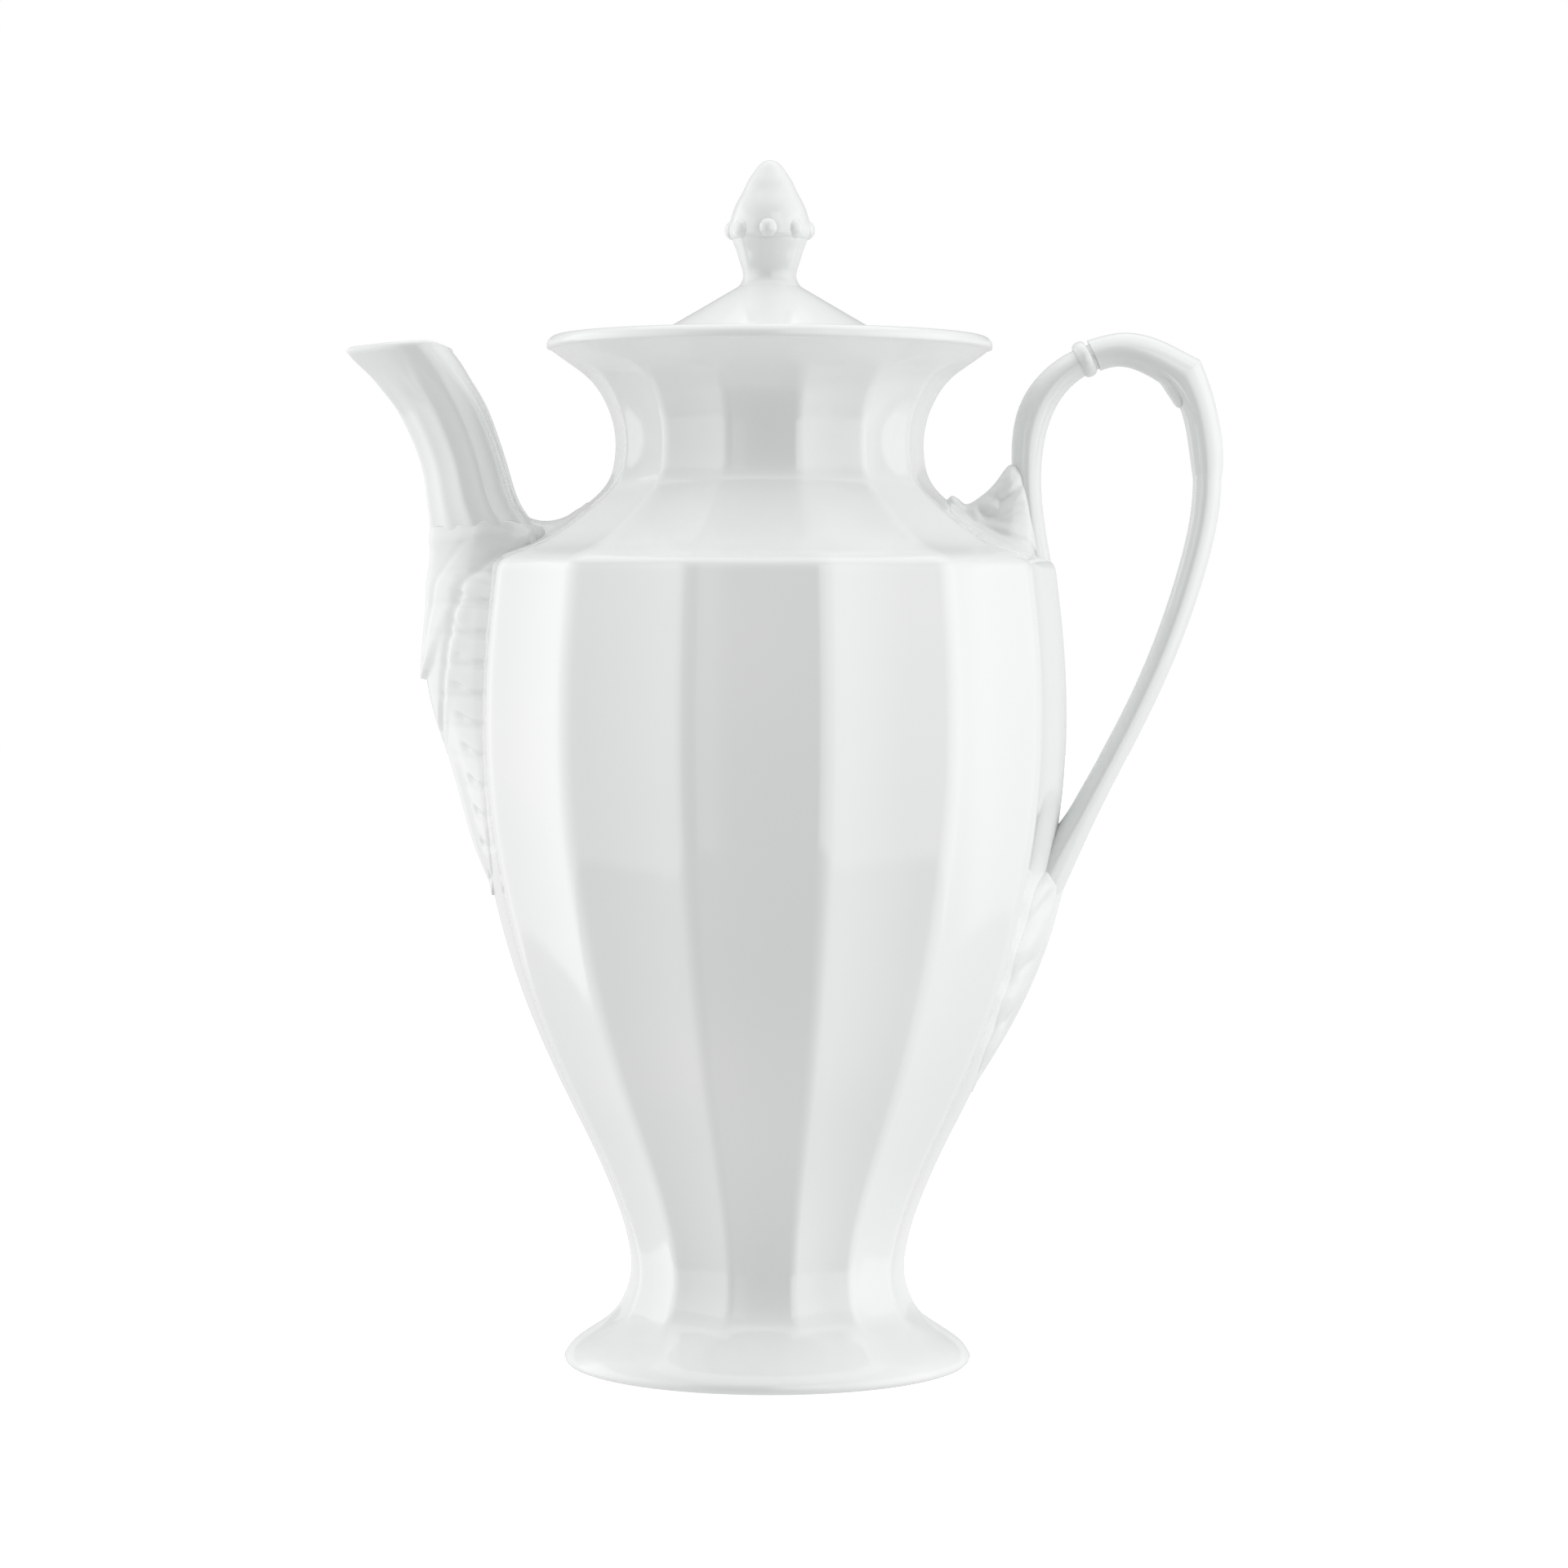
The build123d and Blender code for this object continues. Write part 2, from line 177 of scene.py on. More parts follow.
def solid_mesh(name, points, faces):
    """Mesh in metres from points in millimetres, with its normals outward."""
    mesh = bpy.data.meshes.new(name)
    mesh.from_pydata((points * MM).tolist(), [], faces)
    mesh.validate()
    if signed_volume(mesh) < 0:
        mesh.flip_normals()
    return mesh


def skin(name, grid):
    """Mesh of quads over rows of closed loops. Both ends are capped by one point."""
    rows, cols = grid.shape[:2]
    points = grid.reshape(-1, 3)
    row = np.arange(rows - 1)[:, None] * cols
    col = np.arange(cols)[None, :]
    after = (col + 1) % cols
    quads = np.stack([row + col, row + after, row + cols + after, row + cols + col], -1)
    faces = quads.reshape(-1, 4).tolist()
    for loop, turn in ((0, 1), (rows - 1, -1)):
        centre = len(points)
        points = np.vstack([points, grid[loop].mean(axis=0)])
        for c in range(cols):
            pair = (loop * cols + (c + 1) % cols, loop * cols + c)
            faces.append([centre, *pair[::turn]])
    return solid_mesh(name, points, faces)


def torus(name, grid):
    """Mesh of quads that closes both ways."""
    rows, cols = grid.shape[:2]
    row = np.arange(rows)[:, None]
    col = np.arange(cols)[None, :]
    nrow = (row + 1) % rows
    ncol = (col + 1) % cols
    quads = np.stack([row * cols + col, row * cols + ncol, nrow * cols + ncol, nrow * cols + col], -1)
    return solid_mesh(name, grid.reshape(-1, 3), quads.reshape(-1, 4).tolist())


def signed_volume(mesh):
    """Positive when the normals point outward."""
    mesh.calc_loop_triangles()
    count = len(mesh.loop_triangles)
    corners = np.empty(count * 3, np.int32)
    mesh.loop_triangles.foreach_get("vertices", corners)
    co = np.empty(len(mesh.vertices) * 3, np.float32)
    mesh.vertices.foreach_get("co", co)
    a, b, c = co.reshape(-1, 3)[corners.reshape(-1, 3)].transpose(1, 0, 2)
    return float(np.einsum("ij,ij->i", a, np.cross(b, c)).sum())


# ------------------------------------------------------------------ fluted vessel
HOLLOW_STEPS = 8            # mesh columns over one flute's hollow
ARRIS_STEPS = 8             # and over one arris
FLUTES_START = (5.0, 17.0)  # heights between which the flutes rise out of the foot's round edge
FLUTES_END = (214.5, 223.2)  # and between which they run out under the rim
FADE_SWELL = 0.055          # how far the fading flutes grow past the round that cuts them off
ROUND_REACH = 0.03          # how far that round stands clear where the flutes are whole
ROUND_BLEND = 0.35          # width of the blend between them
EDGE_ROWS = 3               # rows on each side of the shoulder edge that the glaze rounds
EDGE_PASSES = 3


def outside_profile():
    """Height, reach and softness from the foot's edge to the rolled rim."""
    lower = evenly(spline([*FOOT, *BULB], 900), 1.0)
    upper = evenly(spline(SHOULDER, 700), 0.7)
    line = np.vstack([lower, upper[1:]]) * (1, 1, GLAZE_SOFTNESS)
    edge = len(lower) - 1
    low, high = edge - EDGE_ROWS, edge + EDGE_ROWS + 1
    for _ in range(EDGE_PASSES):
        beside = line[low - 1:high - 1] + line[low + 1:high + 1]
        line[low:high] = line[low:high] * 0.5 + beside * 0.25
    return line


PROFILE = outside_profile()


def outline_at(z):
    """Reach and softness of the vessel at a height."""
    return np.interp(z, PROFILE[:, 0], PROFILE[:, 1]), np.interp(z, PROFILE[:, 0], PROFILE[:, 2])


def flute_circles(reach, softness):
    """A flute's hollow and its centre's distance, an arris centre's distance, and where they meet."""
    hollow = FLUTE * reach
    corner = reach - softness
    gap = hollow + softness
    away = corner * math.cos(HALF_FACET) + np.sqrt(gap ** 2 - (corner * math.sin(HALF_FACET)) ** 2)
    share = softness / gap
    meet_x = corner * math.cos(HALF_FACET) * (1 - share) + away * share
    meet_y = corner * math.sin(HALF_FACET) * (1 - share)
    return hollow, away, corner, np.arctan2(meet_y, meet_x)


def flute_radius(angle, reach, softness):
    """Radius of the section in a direction. Arrises lie at 0 and at every second half facet."""
    hollow, away, corner, meet = flute_circles(reach, softness)
    across = ((np.asarray(angle) / HALF_FACET) % 2 - 1) * HALF_FACET
    turn = HALF_FACET - np.abs(across)
    in_hollow = away * np.cos(across) - np.sqrt(np.maximum(hollow ** 2 - (away * np.sin(across)) ** 2, 0))
    on_arris = corner * np.cos(turn) + np.sqrt(np.maximum(softness ** 2 - (corner * np.sin(turn)) ** 2, 0))
    return np.where(np.abs(across) < meet, in_hollow, on_arris)


def flute_angles(reach, softness):
    """Directions of the mesh columns: close together on the arrises, wider in the hollows."""
    meet = flute_circles(reach, softness)[3]
    across = np.linspace(-meet, meet, HOLLOW_STEPS + 1)
    turn = np.linspace(-(HALF_FACET - meet), HALF_FACET - meet, ARRIS_STEPS + 1)[1:-1]
    one = np.concatenate([across, turn + HALF_FACET])
    return np.concatenate([one + (2 * facet + 1) * HALF_FACET for facet in range(FACETS)])


ROUND_ANGLES = flute_angles(40.0, 3.5)      # the columns of the round rows, as at a typical reach


def soft_min(a, b, width):
    """The smaller of two values, blended where they are less than a width apart."""
    close = np.clip(1 - np.abs(a - b) / width, 0, 1)
    return np.minimum(a, b) - close ** 2 * width / 4


def vessel_row(z, reach, softness):
    """One loop of the vessel's outside. Towards foot edge and rim, a round takes over from the flutes."""
    angle = flute_angles(reach, softness)
    radius = flute_radius(angle, reach, softness)
    fade = 1 - smooth_between(z, *FLUTES_START) + smooth_between(z, *FLUTES_END)
    swell = 1 + FADE_SWELL * fade
    cap = reach * (1 + ROUND_REACH * (1 - fade))
    whole = soft_min(reach * swell, cap, ROUND_BLEND)
    radius = soft_min(radius * swell, cap, ROUND_BLEND) * reach / whole
    return np.column_stack([radius * np.cos(angle), radius * np.sin(angle), np.full_like(angle, z)])


def round_row(z, radius):
    turn = ROUND_ANGLES
    return np.column_stack([radius * np.cos(turn), radius * np.sin(turn), np.full_like(turn, z)])


def arc(centre_r, centre_z, radius, start, stop, count):
    turn = np.radians(np.linspace(start, stop, count))
    return np.column_stack([centre_r + radius * np.cos(turn), centre_z + radius * np.sin(turn)])


# Radius and height of the surfaces that are round: under the foot, ground ring, foot edge, seat, inside.
FOOT_UNDER = [(0.5, 22.5), (20, 22.5), (25.6, 20.5), (29.0, 12), (34.8, 5), (37.2, 1.2)]
GROUND_RING = [(37.8, 0.25), (38.4, 0.0), (42.0, 0.0), (42.6, 0.04)]
FOOT_EDGE = [(43.5, 0.12), (44.2, 0.38), (44.7, 0.85)]
SEAT = [(44.4, 223.0), (41.6, 220.6), (39.0, 219.6)]
LEDGE = [(38.6, 219.5), (34.5, 219.5), (30.4, 219.5), (29.6, 219.1), (29.5, 218.2), (29.5, 203)]
CAVITY = [
    (29.5, 203), (31.2, 195), (37.2, 185.8), (46, 178.6), (54.5, 173), (58, 166), (59.6, 140), (58, 120),
    (47.8, 80), (39.2, 60), (29.0, 40), (24.5, 33), (17, 30.2), (8, 29.5), (0.5, 29.5),
]
VESSEL_NODES = (
    "pedestal_foot", "bulb_base_shell", "bulb_middle_shell", "bulb_upper_shell", "strainer_wall",
    "shoulder_shell", "neck_shell",
)


def pot_vessel(glaze, biscuit):
    """Foot, bulb, shoulder, neck and inside as one skin, with bare biscuit on the ground ring."""
    under = [round_row(z, r) for r, z in spline(FOOT_UNDER, 40)]
    ring = [round_row(z, r) for r, z in GROUND_RING]
    edge = [round_row(z, r) for r, z in FOOT_EDGE]
    outside = [vessel_row(*station) for station in PROFILE]
    lip = [round_row(z, r) for r, z in arc(LIP_RADIUS, LIP_Z, LIP_ROLL, -18, 190, 16)]
    inside = [*spline(SEAT, 8), *LEDGE, *spline(CAVITY, 60)[1:]]
    inside = [round_row(z, r) for r, z in inside]
    mesh = skin("vessel", np.array(under + ring + edge + outside + lip + inside))
    mesh.materials.append(glaze)
    mesh.materials.append(biscuit)
    columns = len(ROUND_ANGLES)
    first = len(under) * columns
    for face in mesh.polygons:
        corners = list(face.vertices)
        if first <= min(corners) and max(corners) < first + len(ring) * columns:
            face.material_index = 1
    link("vessel", mesh, None, "pot", *VESSEL_NODES)


# ------------------------------------------------------------------ soft polygons
def soft_polygon(corners, share, turn_steps=5, run_steps=3, hollow=0.0):
    """Closed loop along a polygon whose corners are rounded over a share of each side.

    Each side is hollowed by a share of its length, like a shallow flute."""
    p = np.asarray(corners, float)
    before = p + (np.roll(p, 1, axis=0) - p) * share
    after = p + (np.roll(p, -1, axis=0) - p) * share
    middle = p.mean(axis=0)
    t = np.linspace(0, 1, turn_steps)[:, None]
    s = np.linspace(0, 1, run_steps + 1)[1:-1, None]
    loop = []
    for i in range(len(p)):
        loop.append(before[i] * (1 - t) ** 2 + 2 * p[i] * t * (1 - t) + after[i] * t ** 2)
        following = before[(i + 1) % len(p)]
        inward = np.array([after[i, 1] - following[1], following[0] - after[i, 0]])
        inward = inward * np.sign(inward @ (middle - after[i]))
        loop.append(after[i] * (1 - s) + following * s + inward * 4 * hollow * s * (1 - s))
    return np.vstack(loop)


# ------------------------------------------------------------------ spout
# Height, front, back, half width, softness of the facets, how pointed the front is.
SPOUT = [
    (112, -59.5, -48.0, 3.5, 0.20, 0),
    (120, -62.0, -50.0, 5.0, 0.20, 0),
    (135, -66.0, -52.0, 6.6, 0.20, 0),
    (150, -70.4, -53.0, 7.6, 0.20, 0),
    (165, -72.6, -53.0, 8.2, 0.20, 0),
    (178, -73.6, -49.5, 9.2, 0.18, 0),
    (184, -74.7, -51.2, 9.9, 0.16, 0),
    (188, -75.1, -54.2, 9.8, 0.14, 0),
    (192, -75.6, -56.2, 9.5, 0.13, 0),
    (197, -76.4, -57.7, 9.2, 0.13, 0),
    (204, -78.9, -59.9, 8.9, 0.14, 0.05),
    (211, -82.6, -62.5, 8.9, 0.16, 0.25),
    (215, -85.6, -64.5, 9.0, 0.24, 0.5),
    (218, -88.0, -66.2, 9.1, 0.40, 0.7),
    (221, -91.0, -67.9, 9.2, 0.49, 0.9),
    (223.7, -93.5, -69.9, 9.2, 0.49, 1.0),
]
SPOUT_WALL = 2.3
CHANNEL_Z = 113             # where the spout's channel ends inside the wall
LIP_TURN = (208, 223)       # heights between which the sections tilt into the lip
SPOUT_TILT = 0.06           # rise of the lip from front to back, as a share of its length
SPOUT_DROP = 2.0            # how far the lip rounds down at its back corner
SPOUT_CORNER = 0.8          # share of the lip's length where that begins
SPOUT_HOLLOW = 0.026        # depth of a facet's hollow, as a share of its width
# Corners of half a section: share of the length from front to back, share of the half width.
TUBE_CORNERS = [(0, 0.22), (0.2, 0.66), (0.44, 0.94), (0.69, 1.02), (0.97, 0.94), (1.0, 0.3)]
BEAK_CORNERS = [(0, 0.04), (0.2, 0.46), (0.43, 0.84), (0.68, 1.0), (0.88, 0.82), (1.0, 0.36)]


def spout_loop(station, wall=0.0):
    """One section of the spout's outside, or of its channel a wall's thickness further in."""
    z, front, back, half, share, beak = station
    front += wall * (1 + 0.5 * beak)
    back -= wall
    half -= wall
    tube = np.array(TUBE_CORNERS)
    side = tube * (1 - beak) + np.array(BEAK_CORNERS) * beak
    x = front + side[:, 0] * (back - front)
    y = side[:, 1] * half
    corners = np.vstack([np.column_stack([x, y]), np.column_stack([x, -y])[::-1]])
    hollow = SPOUT_HOLLOW * (1 - beak)
    loop = soft_polygon(corners, np.clip(share, 0.12, 0.49), run_steps=6, hollow=hollow)
    ease = smooth_between(z, *LIP_TURN)
    height = z + SPOUT_TILT * ease * (loop[:, 0] - (front + back) / 2)
    rear = smooth_between((loop[:, 0] - front) / (back - front), SPOUT_CORNER, 1.1)
    height -= SPOUT_DROP * ease * rear
    return np.column_stack([loop, height])


def spout_tube(material):
    """Hollow faceted tube from the wall to the pointed lip, and back down its channel."""
    stations = evenly(spline(SPOUT, 600), 0.9)
    rows = [spout_loop(s) for s in stations]
    outer_lip = rows[-1]
    inner_lip = spout_loop(stations[-1], SPOUT_WALL)
    for turn in np.linspace(0, math.pi, 9)[1:]:
        mix = (1 - math.cos(turn)) / 2
        lip = outer_lip * (1 - mix) + inner_lip * mix
        lip[:, 2] += SPOUT_WALL * 0.5 * math.sin(turn)
        rows.append(lip)
    channel = [s for s in stations[::-3] if s[0] > CHANNEL_Z]
    rows += [spout_loop(s, SPOUT_WALL) for s in channel[1:]]
    mesh = skin("spout_tube_faceted", np.array(rows))
    link("spout_tube_faceted", mesh, material, "pot", "spout_tube")


# ------------------------------------------------------------------ handle and its leaves
def square_across(outer, inner):
    """For each point of the outer line, the nearest one of the inner line, never going back."""
    fine = resample(inner, 3000)
    nearest = np.linalg.norm(outer[:, None] - fine[None], axis=2).argmin(axis=1)
    nearest = np.maximum.accumulate(nearest).astype(float)
    padded = np.concatenate([[nearest[0]] * 5, nearest, [nearest[-1]] * 5])
    even = np.convolve(padded, np.ones(11) / 11, mode="valid")
    places = np.arange(len(fine))
    return np.column_stack([np.interp(even, places, column) for column in fine.T])


def strap(name, outer, inner, depth, section, softness=0.2, steps=160, round_ends=(0, 0)):
    """Bar between two lines in the XZ plane. The section gives share across and share of half depth."""
    a = resample(outer, steps)
    b = square_across(a, inner)
    half = np.interp(np.linspace(0, 1, steps), *zip(*depth)) / 2
    loop = soft_polygon(section, softness)
    rows = []
    for i, u in enumerate(np.linspace(0, 1, steps)):
        ease = 1.0
        for end, length in zip((u, 1 - u), round_ends):
            if end < length:
                ease *= math.sqrt(max(1 - (1 - end / length) ** 2, 0.0004))
        across = (loop[:, 0] - 0.5) * ease + 0.5
        point = b[i] + (a[i] - b[i]) * across[:, None]
        rows.append(np.column_stack([point[:, 0], loop[:, 1] * ease * half[i], point[:, 1]]))
    return skin(name, np.array(rows))


# Lines of the handle in the XZ plane, from its shoulder root over the top to its lower root.
HANDLE_OUTSIDE = [
    (54.5, 158.0), (55.2, 172.0), (54.2, 187.0), (53.2, 201.0), (55.4, 212.4), (64.0, 221.9), (77.0, 225.4),
    (88.2, 219.6), (96.4, 206.6), (99.1, 195.5), (96.3, 177.0), (86.1, 148.9), (72.3, 120.9), (63.2, 101.0),
    (57.5, 91.0),
]
HANDLE_INSIDE = [
    (61.6, 155.0), (63.7, 165.0), (62.3, 175.5), (60.6, 185.0), (59.7, 195.0), (61.0, 206.0), (66.2, 215.4),
    (76.1, 220.2), (83.3, 218.2), (88.2, 214.6), (91.0, 209.2), (92.9, 194.0), (89.6, 175.0), (79.6, 148.0),
    (68.0, 126.0), (65.9, 122.4), (62.6, 117.5), (56.0, 106.0), (51.5, 97.0),
]
HANDLE_SECTION = [(1, 0.42), (0.47, 1.03), (0.0, 0.5), (0.0, -0.5), (0.47, -1.03), (1, -0.42)]
HANDLE_SOFTNESS = 0.49
# Depths of the bar, the sheath and the curled tip: share of the way along, depth across the plane.
HANDLE_DEPTH = [(0, 10.4), (0.25, 9.8), (0.6, 9.4), (1, 10.0)]
THUMB_DEPTH = [(0, 10.3), (0.12, 10.6), (0.5, 10.4), (0.75, 10.1), (0.88, 9.2), (1, 6.0)]
CURL_DEPTH = [(0, 7.0), (0.6, 8.6), (1, 6.6)]


def handle_loop(material):
    outer = spline(HANDLE_OUTSIDE, 500)
    inner = spline(HANDLE_INSIDE, 500)
    mesh = strap("handle_bar", outer, inner, HANDLE_DEPTH, HANDLE_SECTION, HANDLE_SOFTNESS, steps=340)
    link("handle_bar", mesh, material, "pot", "handle_loop")


RING_CENTRE = (69.05, 221.4)
RING_LEAN = math.radians(-27)
RING_REACH = 3.2            # from the bar's middle line to the band's, in the loop's plane
RING_SIDE = 4.3             # the same to the sides
BAND_HEIGHT = 0.9
BAND_WIDTH = 1.45


def handle_ring(material):
    """Round band that grips the handle where the leaf sheath starts."""
    along = np.array([math.cos(RING_LEAN), 0, -math.sin(RING_LEAN)])
    across = np.cross(along, (0, 1, 0))
    centre = np.array([RING_CENTRE[0], 0, RING_CENTRE[1]])
    rows = []
    for turn in np.linspace(0, 2 * math.pi, 97)[:-1]:
        outward = across * math.cos(turn) * RING_REACH + np.array([0, math.sin(turn) * RING_SIDE, 0])
        unit = outward / np.linalg.norm(outward)
        ring = []
        for t in np.linspace(0, 2 * math.pi, 24, endpoint=False):
            proud = unit * BAND_HEIGHT * math.cos(t) + along * BAND_WIDTH * math.sin(t)
            ring.append(centre + outward + proud)
        rows.append(ring)
    link("handle_ring_band", torus("handle_ring_band", np.array(rows)), material, "pot", "handle_ring")


# The sheath's outline: along the top to the thumb rest's corner, and down its back.
THUMB_TOP = [(69.6, 225.5), (77.3, 227.2), (84.6, 226.0), (89.8, 223.6), (94.4, 221.2)]
THUMB_BACK = [(94.4, 221.2), (97.2, 213.6), (99.1, 205.0), (99.5, 199.0), (98.5, 192.5), (96.2, 187.0)]
THUMB_INSIDE = [(68.2, 216.6), (76.2, 219.8), (83.0, 217.8), (87.9, 214.2), (90.6, 209.0), (92.1, 201.0),
                (93.2, 194.0), (95.0, 187.0)]


def thumb_leaf(material):
    """Leaf sheath that wraps the handle's top and ends in the pointed thumb rest."""
    outer = np.vstack([spline(THUMB_TOP, 120), spline(THUMB_BACK, 160)[1:]])
    inner = spline(THUMB_INSIDE, 200)
    mesh = strap("thumb_rest_leaf", outer, inner, THUMB_DEPTH, HANDLE_SECTION, HANDLE_SOFTNESS, steps=260)
    link("thumb_rest_leaf", mesh, material, "pot", "handle_thumb_leaf")


CURL_OUTSIDE = [(80.0, 222.0), (86.5, 219.5), (91.2, 214.6), (92.2, 211.0)]
CURL_INSIDE = [(79.8, 220.0), (84.8, 217.0), (87.2, 213.9), (89.4, 210.6)]
CURL_SECTION = [(1, 0.5), (0.45, 1.0), (0, 0.5), (0, -0.5), (0.45, -1.0), (1, -0.5)]


def curl_leaf(material):
    """Small leaf tip that peels off the inside of the loop."""
    outer = spline(CURL_OUTSIDE, 60)
    inner = spline(CURL_INSIDE, 60)
    mesh = strap("curled_leaf_tip", outer, inner, CURL_DEPTH, CURL_SECTION, 0.42, 90, (0, 0.16))
    link("curled_leaf_tip", mesh, material, "pot", "handle_curl_leaf")


# ------------------------------------------------------------------ leaves that lie on the wall
LEAF_COLUMNS = 56           # mesh columns on each half of a leaf
LEAF_CROWDING = 0.6         # how much they crowd towards the leaf's edges
LEAF_ROW = 0.36             # height of a mesh row
LEAF_DEPTH = 1.6            # how deep a leaf's back lies in the wall


def near(value, centre, width):
    """Bell that is 1 at a centre and fades over a width."""
    return np.exp(-((value - centre) / width) ** 2)


def lobe(value, start, pitch, notch=0.15):
    """0 at each notch between two lobes and 1 over most of a lobe; width is a share of the pitch."""
    place = (value - start) / pitch
    return 1 - near(place - np.round(place), 0, notch)


def wall_at(z, y):
    """How far out along X the fluted wall of the bulb is, at a height and side offset."""
    reach, softness = outline_at(min(z, ARRIS_Z))
    radius = reach
    for _ in range(4):
        angle = np.arcsin(np.clip(y / radius, -0.9, 0.9))
        radius = flute_radius(angle, reach, softness)
    return radius * np.cos(angle)


def shoulder_at(x, y):
    """Height of the fluted shoulder over a point of the ground plane."""
    angle = np.arctan2(y, abs(x))
    reach = np.hypot(x, y) * 50 / flute_radius(angle, 50.0, 4.2 * GLAZE_SOFTNESS)
    part = PROFILE[(PROFILE[:, 0] > ARRIS_Z - 0.5) & (PROFILE[:, 0] < 203)][::-1]
    return np.interp(reach, part[:, 1], part[:, 0])


def leaf_shares():
    """Shares of a leaf's half width from -1 to 1 that crowd towards its edges."""
    t = np.linspace(-1, 1, 2 * LEAF_COLUMNS + 1)
    return t * (1 - LEAF_CROWDING) + np.sin(t * math.pi / 2) * LEAF_CROWDING


def edge_roll(share, start):
    """1 on a leaf's face, rounding off to 0 at its edge."""
    t = np.clip((np.abs(share) - start) / (1 - start), 0, 1)
    return np.sqrt(1 - t ** 2)


def line_of(points):
    """Smooth function of the first column of some points."""
    curve = spline(points, 400)
    order = np.argsort(curve[:, 0])
    return lambda value: np.interp(value, curve[order, 0], curve[order, 1])


# Height, value: how far out the leaf's ridge is, half its width, and where its midrib groove runs.
ROOT_CREST = line_of([(103, 60.2), (106.5, 61.6), (113.7, 64.6), (122.7, 67.3), (131.7, 69.8), (140, 72.4),
                      (149.3, 74.8), (158, 75.3), (168, 75.3), (178, 74.9), (184, 74.4)])
ROOT_WIDTH = line_of([(103, 1.5), (108, 5.2), (114, 8.6), (122, 11.4), (132, 13.4), (145, 14.4), (158, 14.2),
                      (168, 13.2), (178, 12.0), (184, 11.2)])
ROOT_GROOVE = line_of([(136, 0.0), (139, 1.8), (144, 4.6), (150, 6.6), (159, 7.9), (169, 8.8), (184, 10.0)])
ROOT_SHAPE = line_of([(0, 1), (0.14, 0.985), (0.34, 0.87), (0.55, 0.71), (0.72, 0.5), (0.87, 0.24),
                      (1.0, 0.0)])
ROOT_LOBES = (113.7, 6.75)  # lowest notch of the lobed edge and the lobes' pitch
ROOT_FOOT = 103.2           # lowest point of the leaf
ROOT_TOP = 184.0            # where the leaf ends on the tube
ROOT_END = 0.9              # how far past that its last rows dive into the tube
ROOT_WRAP = (171.0, 184.0)  # heights between which it leaves the wall and wraps round the tube
ROOT_ARCH = 1.2             # how far its end arches up on the sides of the tube
ROOT_FLARE = 1.6            # how much wider than the tube the wrapped leaf starts
TIP_Z = 150.8               # lowest point of the front leaf's turned-down tip
TIP_RISE = 22.0             # height over which that leaf widens to TIP_REACH on each side
TIP_REACH = 9.0
# Half of the tube's section, from its front to its back: share of the way round, share back, share out.
TUBE_SIDE = spline([(0, 0, 0), (0.064, 0.0, 0.22), (0.27, 0.2, 0.66), (0.47, 0.44, 0.94), (0.66, 0.69, 1.02),
                    (0.86, 0.97, 0.92), (1.0, 1.0, 0.3)], 80)
SPOUT_LINE = spline(SPOUT, 300)


def root_relief(z, y, share):
    """Carving: notches and eyes between the lobes, a midrib, and the turned-down front leaf."""
    slant = z - 0.5 * (ROOT_WIDTH(z) - y)
    notch = 1 - lobe(slant, *ROOT_LOBES, 0.12)
    eyes = 0.6 * notch * near(share, 0.7, 0.08)
    veins = 0.25 * notch * smooth_between(share, 0.66, 0.85)
    groove = ROOT_GROOVE(z) * (z > 136)
    midrib = 0.55 * near(y, groove, 0.7) * (z > 139) - 0.25 * near(y, groove + 1.7, 0.9)
    front = 0.3 * smooth_between(groove - y, -0.2, 1.0)
    above_tip = max(z - TIP_Z, 0)
    tip_width = TIP_REACH * math.sqrt(above_tip / TIP_RISE)
    tip = max(1.45 - 0.09 * above_tip, 0) * smooth_between(tip_width - y, -1.0, 1.0) * (z > TIP_Z)
    crease = 0.2 * near(y, tip_width * 0.45, 0.6) * (z > TIP_Z + 4)
    return front - midrib - eyes - veins + tip - crease


def tube_side(z, share, proud):
    """Point of the tube's section, some way round from its front and a little proud of it."""
    front, back, half = (np.interp(z, SPOUT_LINE[:, 0], SPOUT_LINE[:, i]) for i in (1, 2, 3))
    backward = np.interp(share, TUBE_SIDE[:, 0], TUBE_SIDE[:, 1])
    outward = np.interp(share, TUBE_SIDE[:, 0], TUBE_SIDE[:, 2])
    return -front + proud - backward * (back - front), outward * (half + proud)


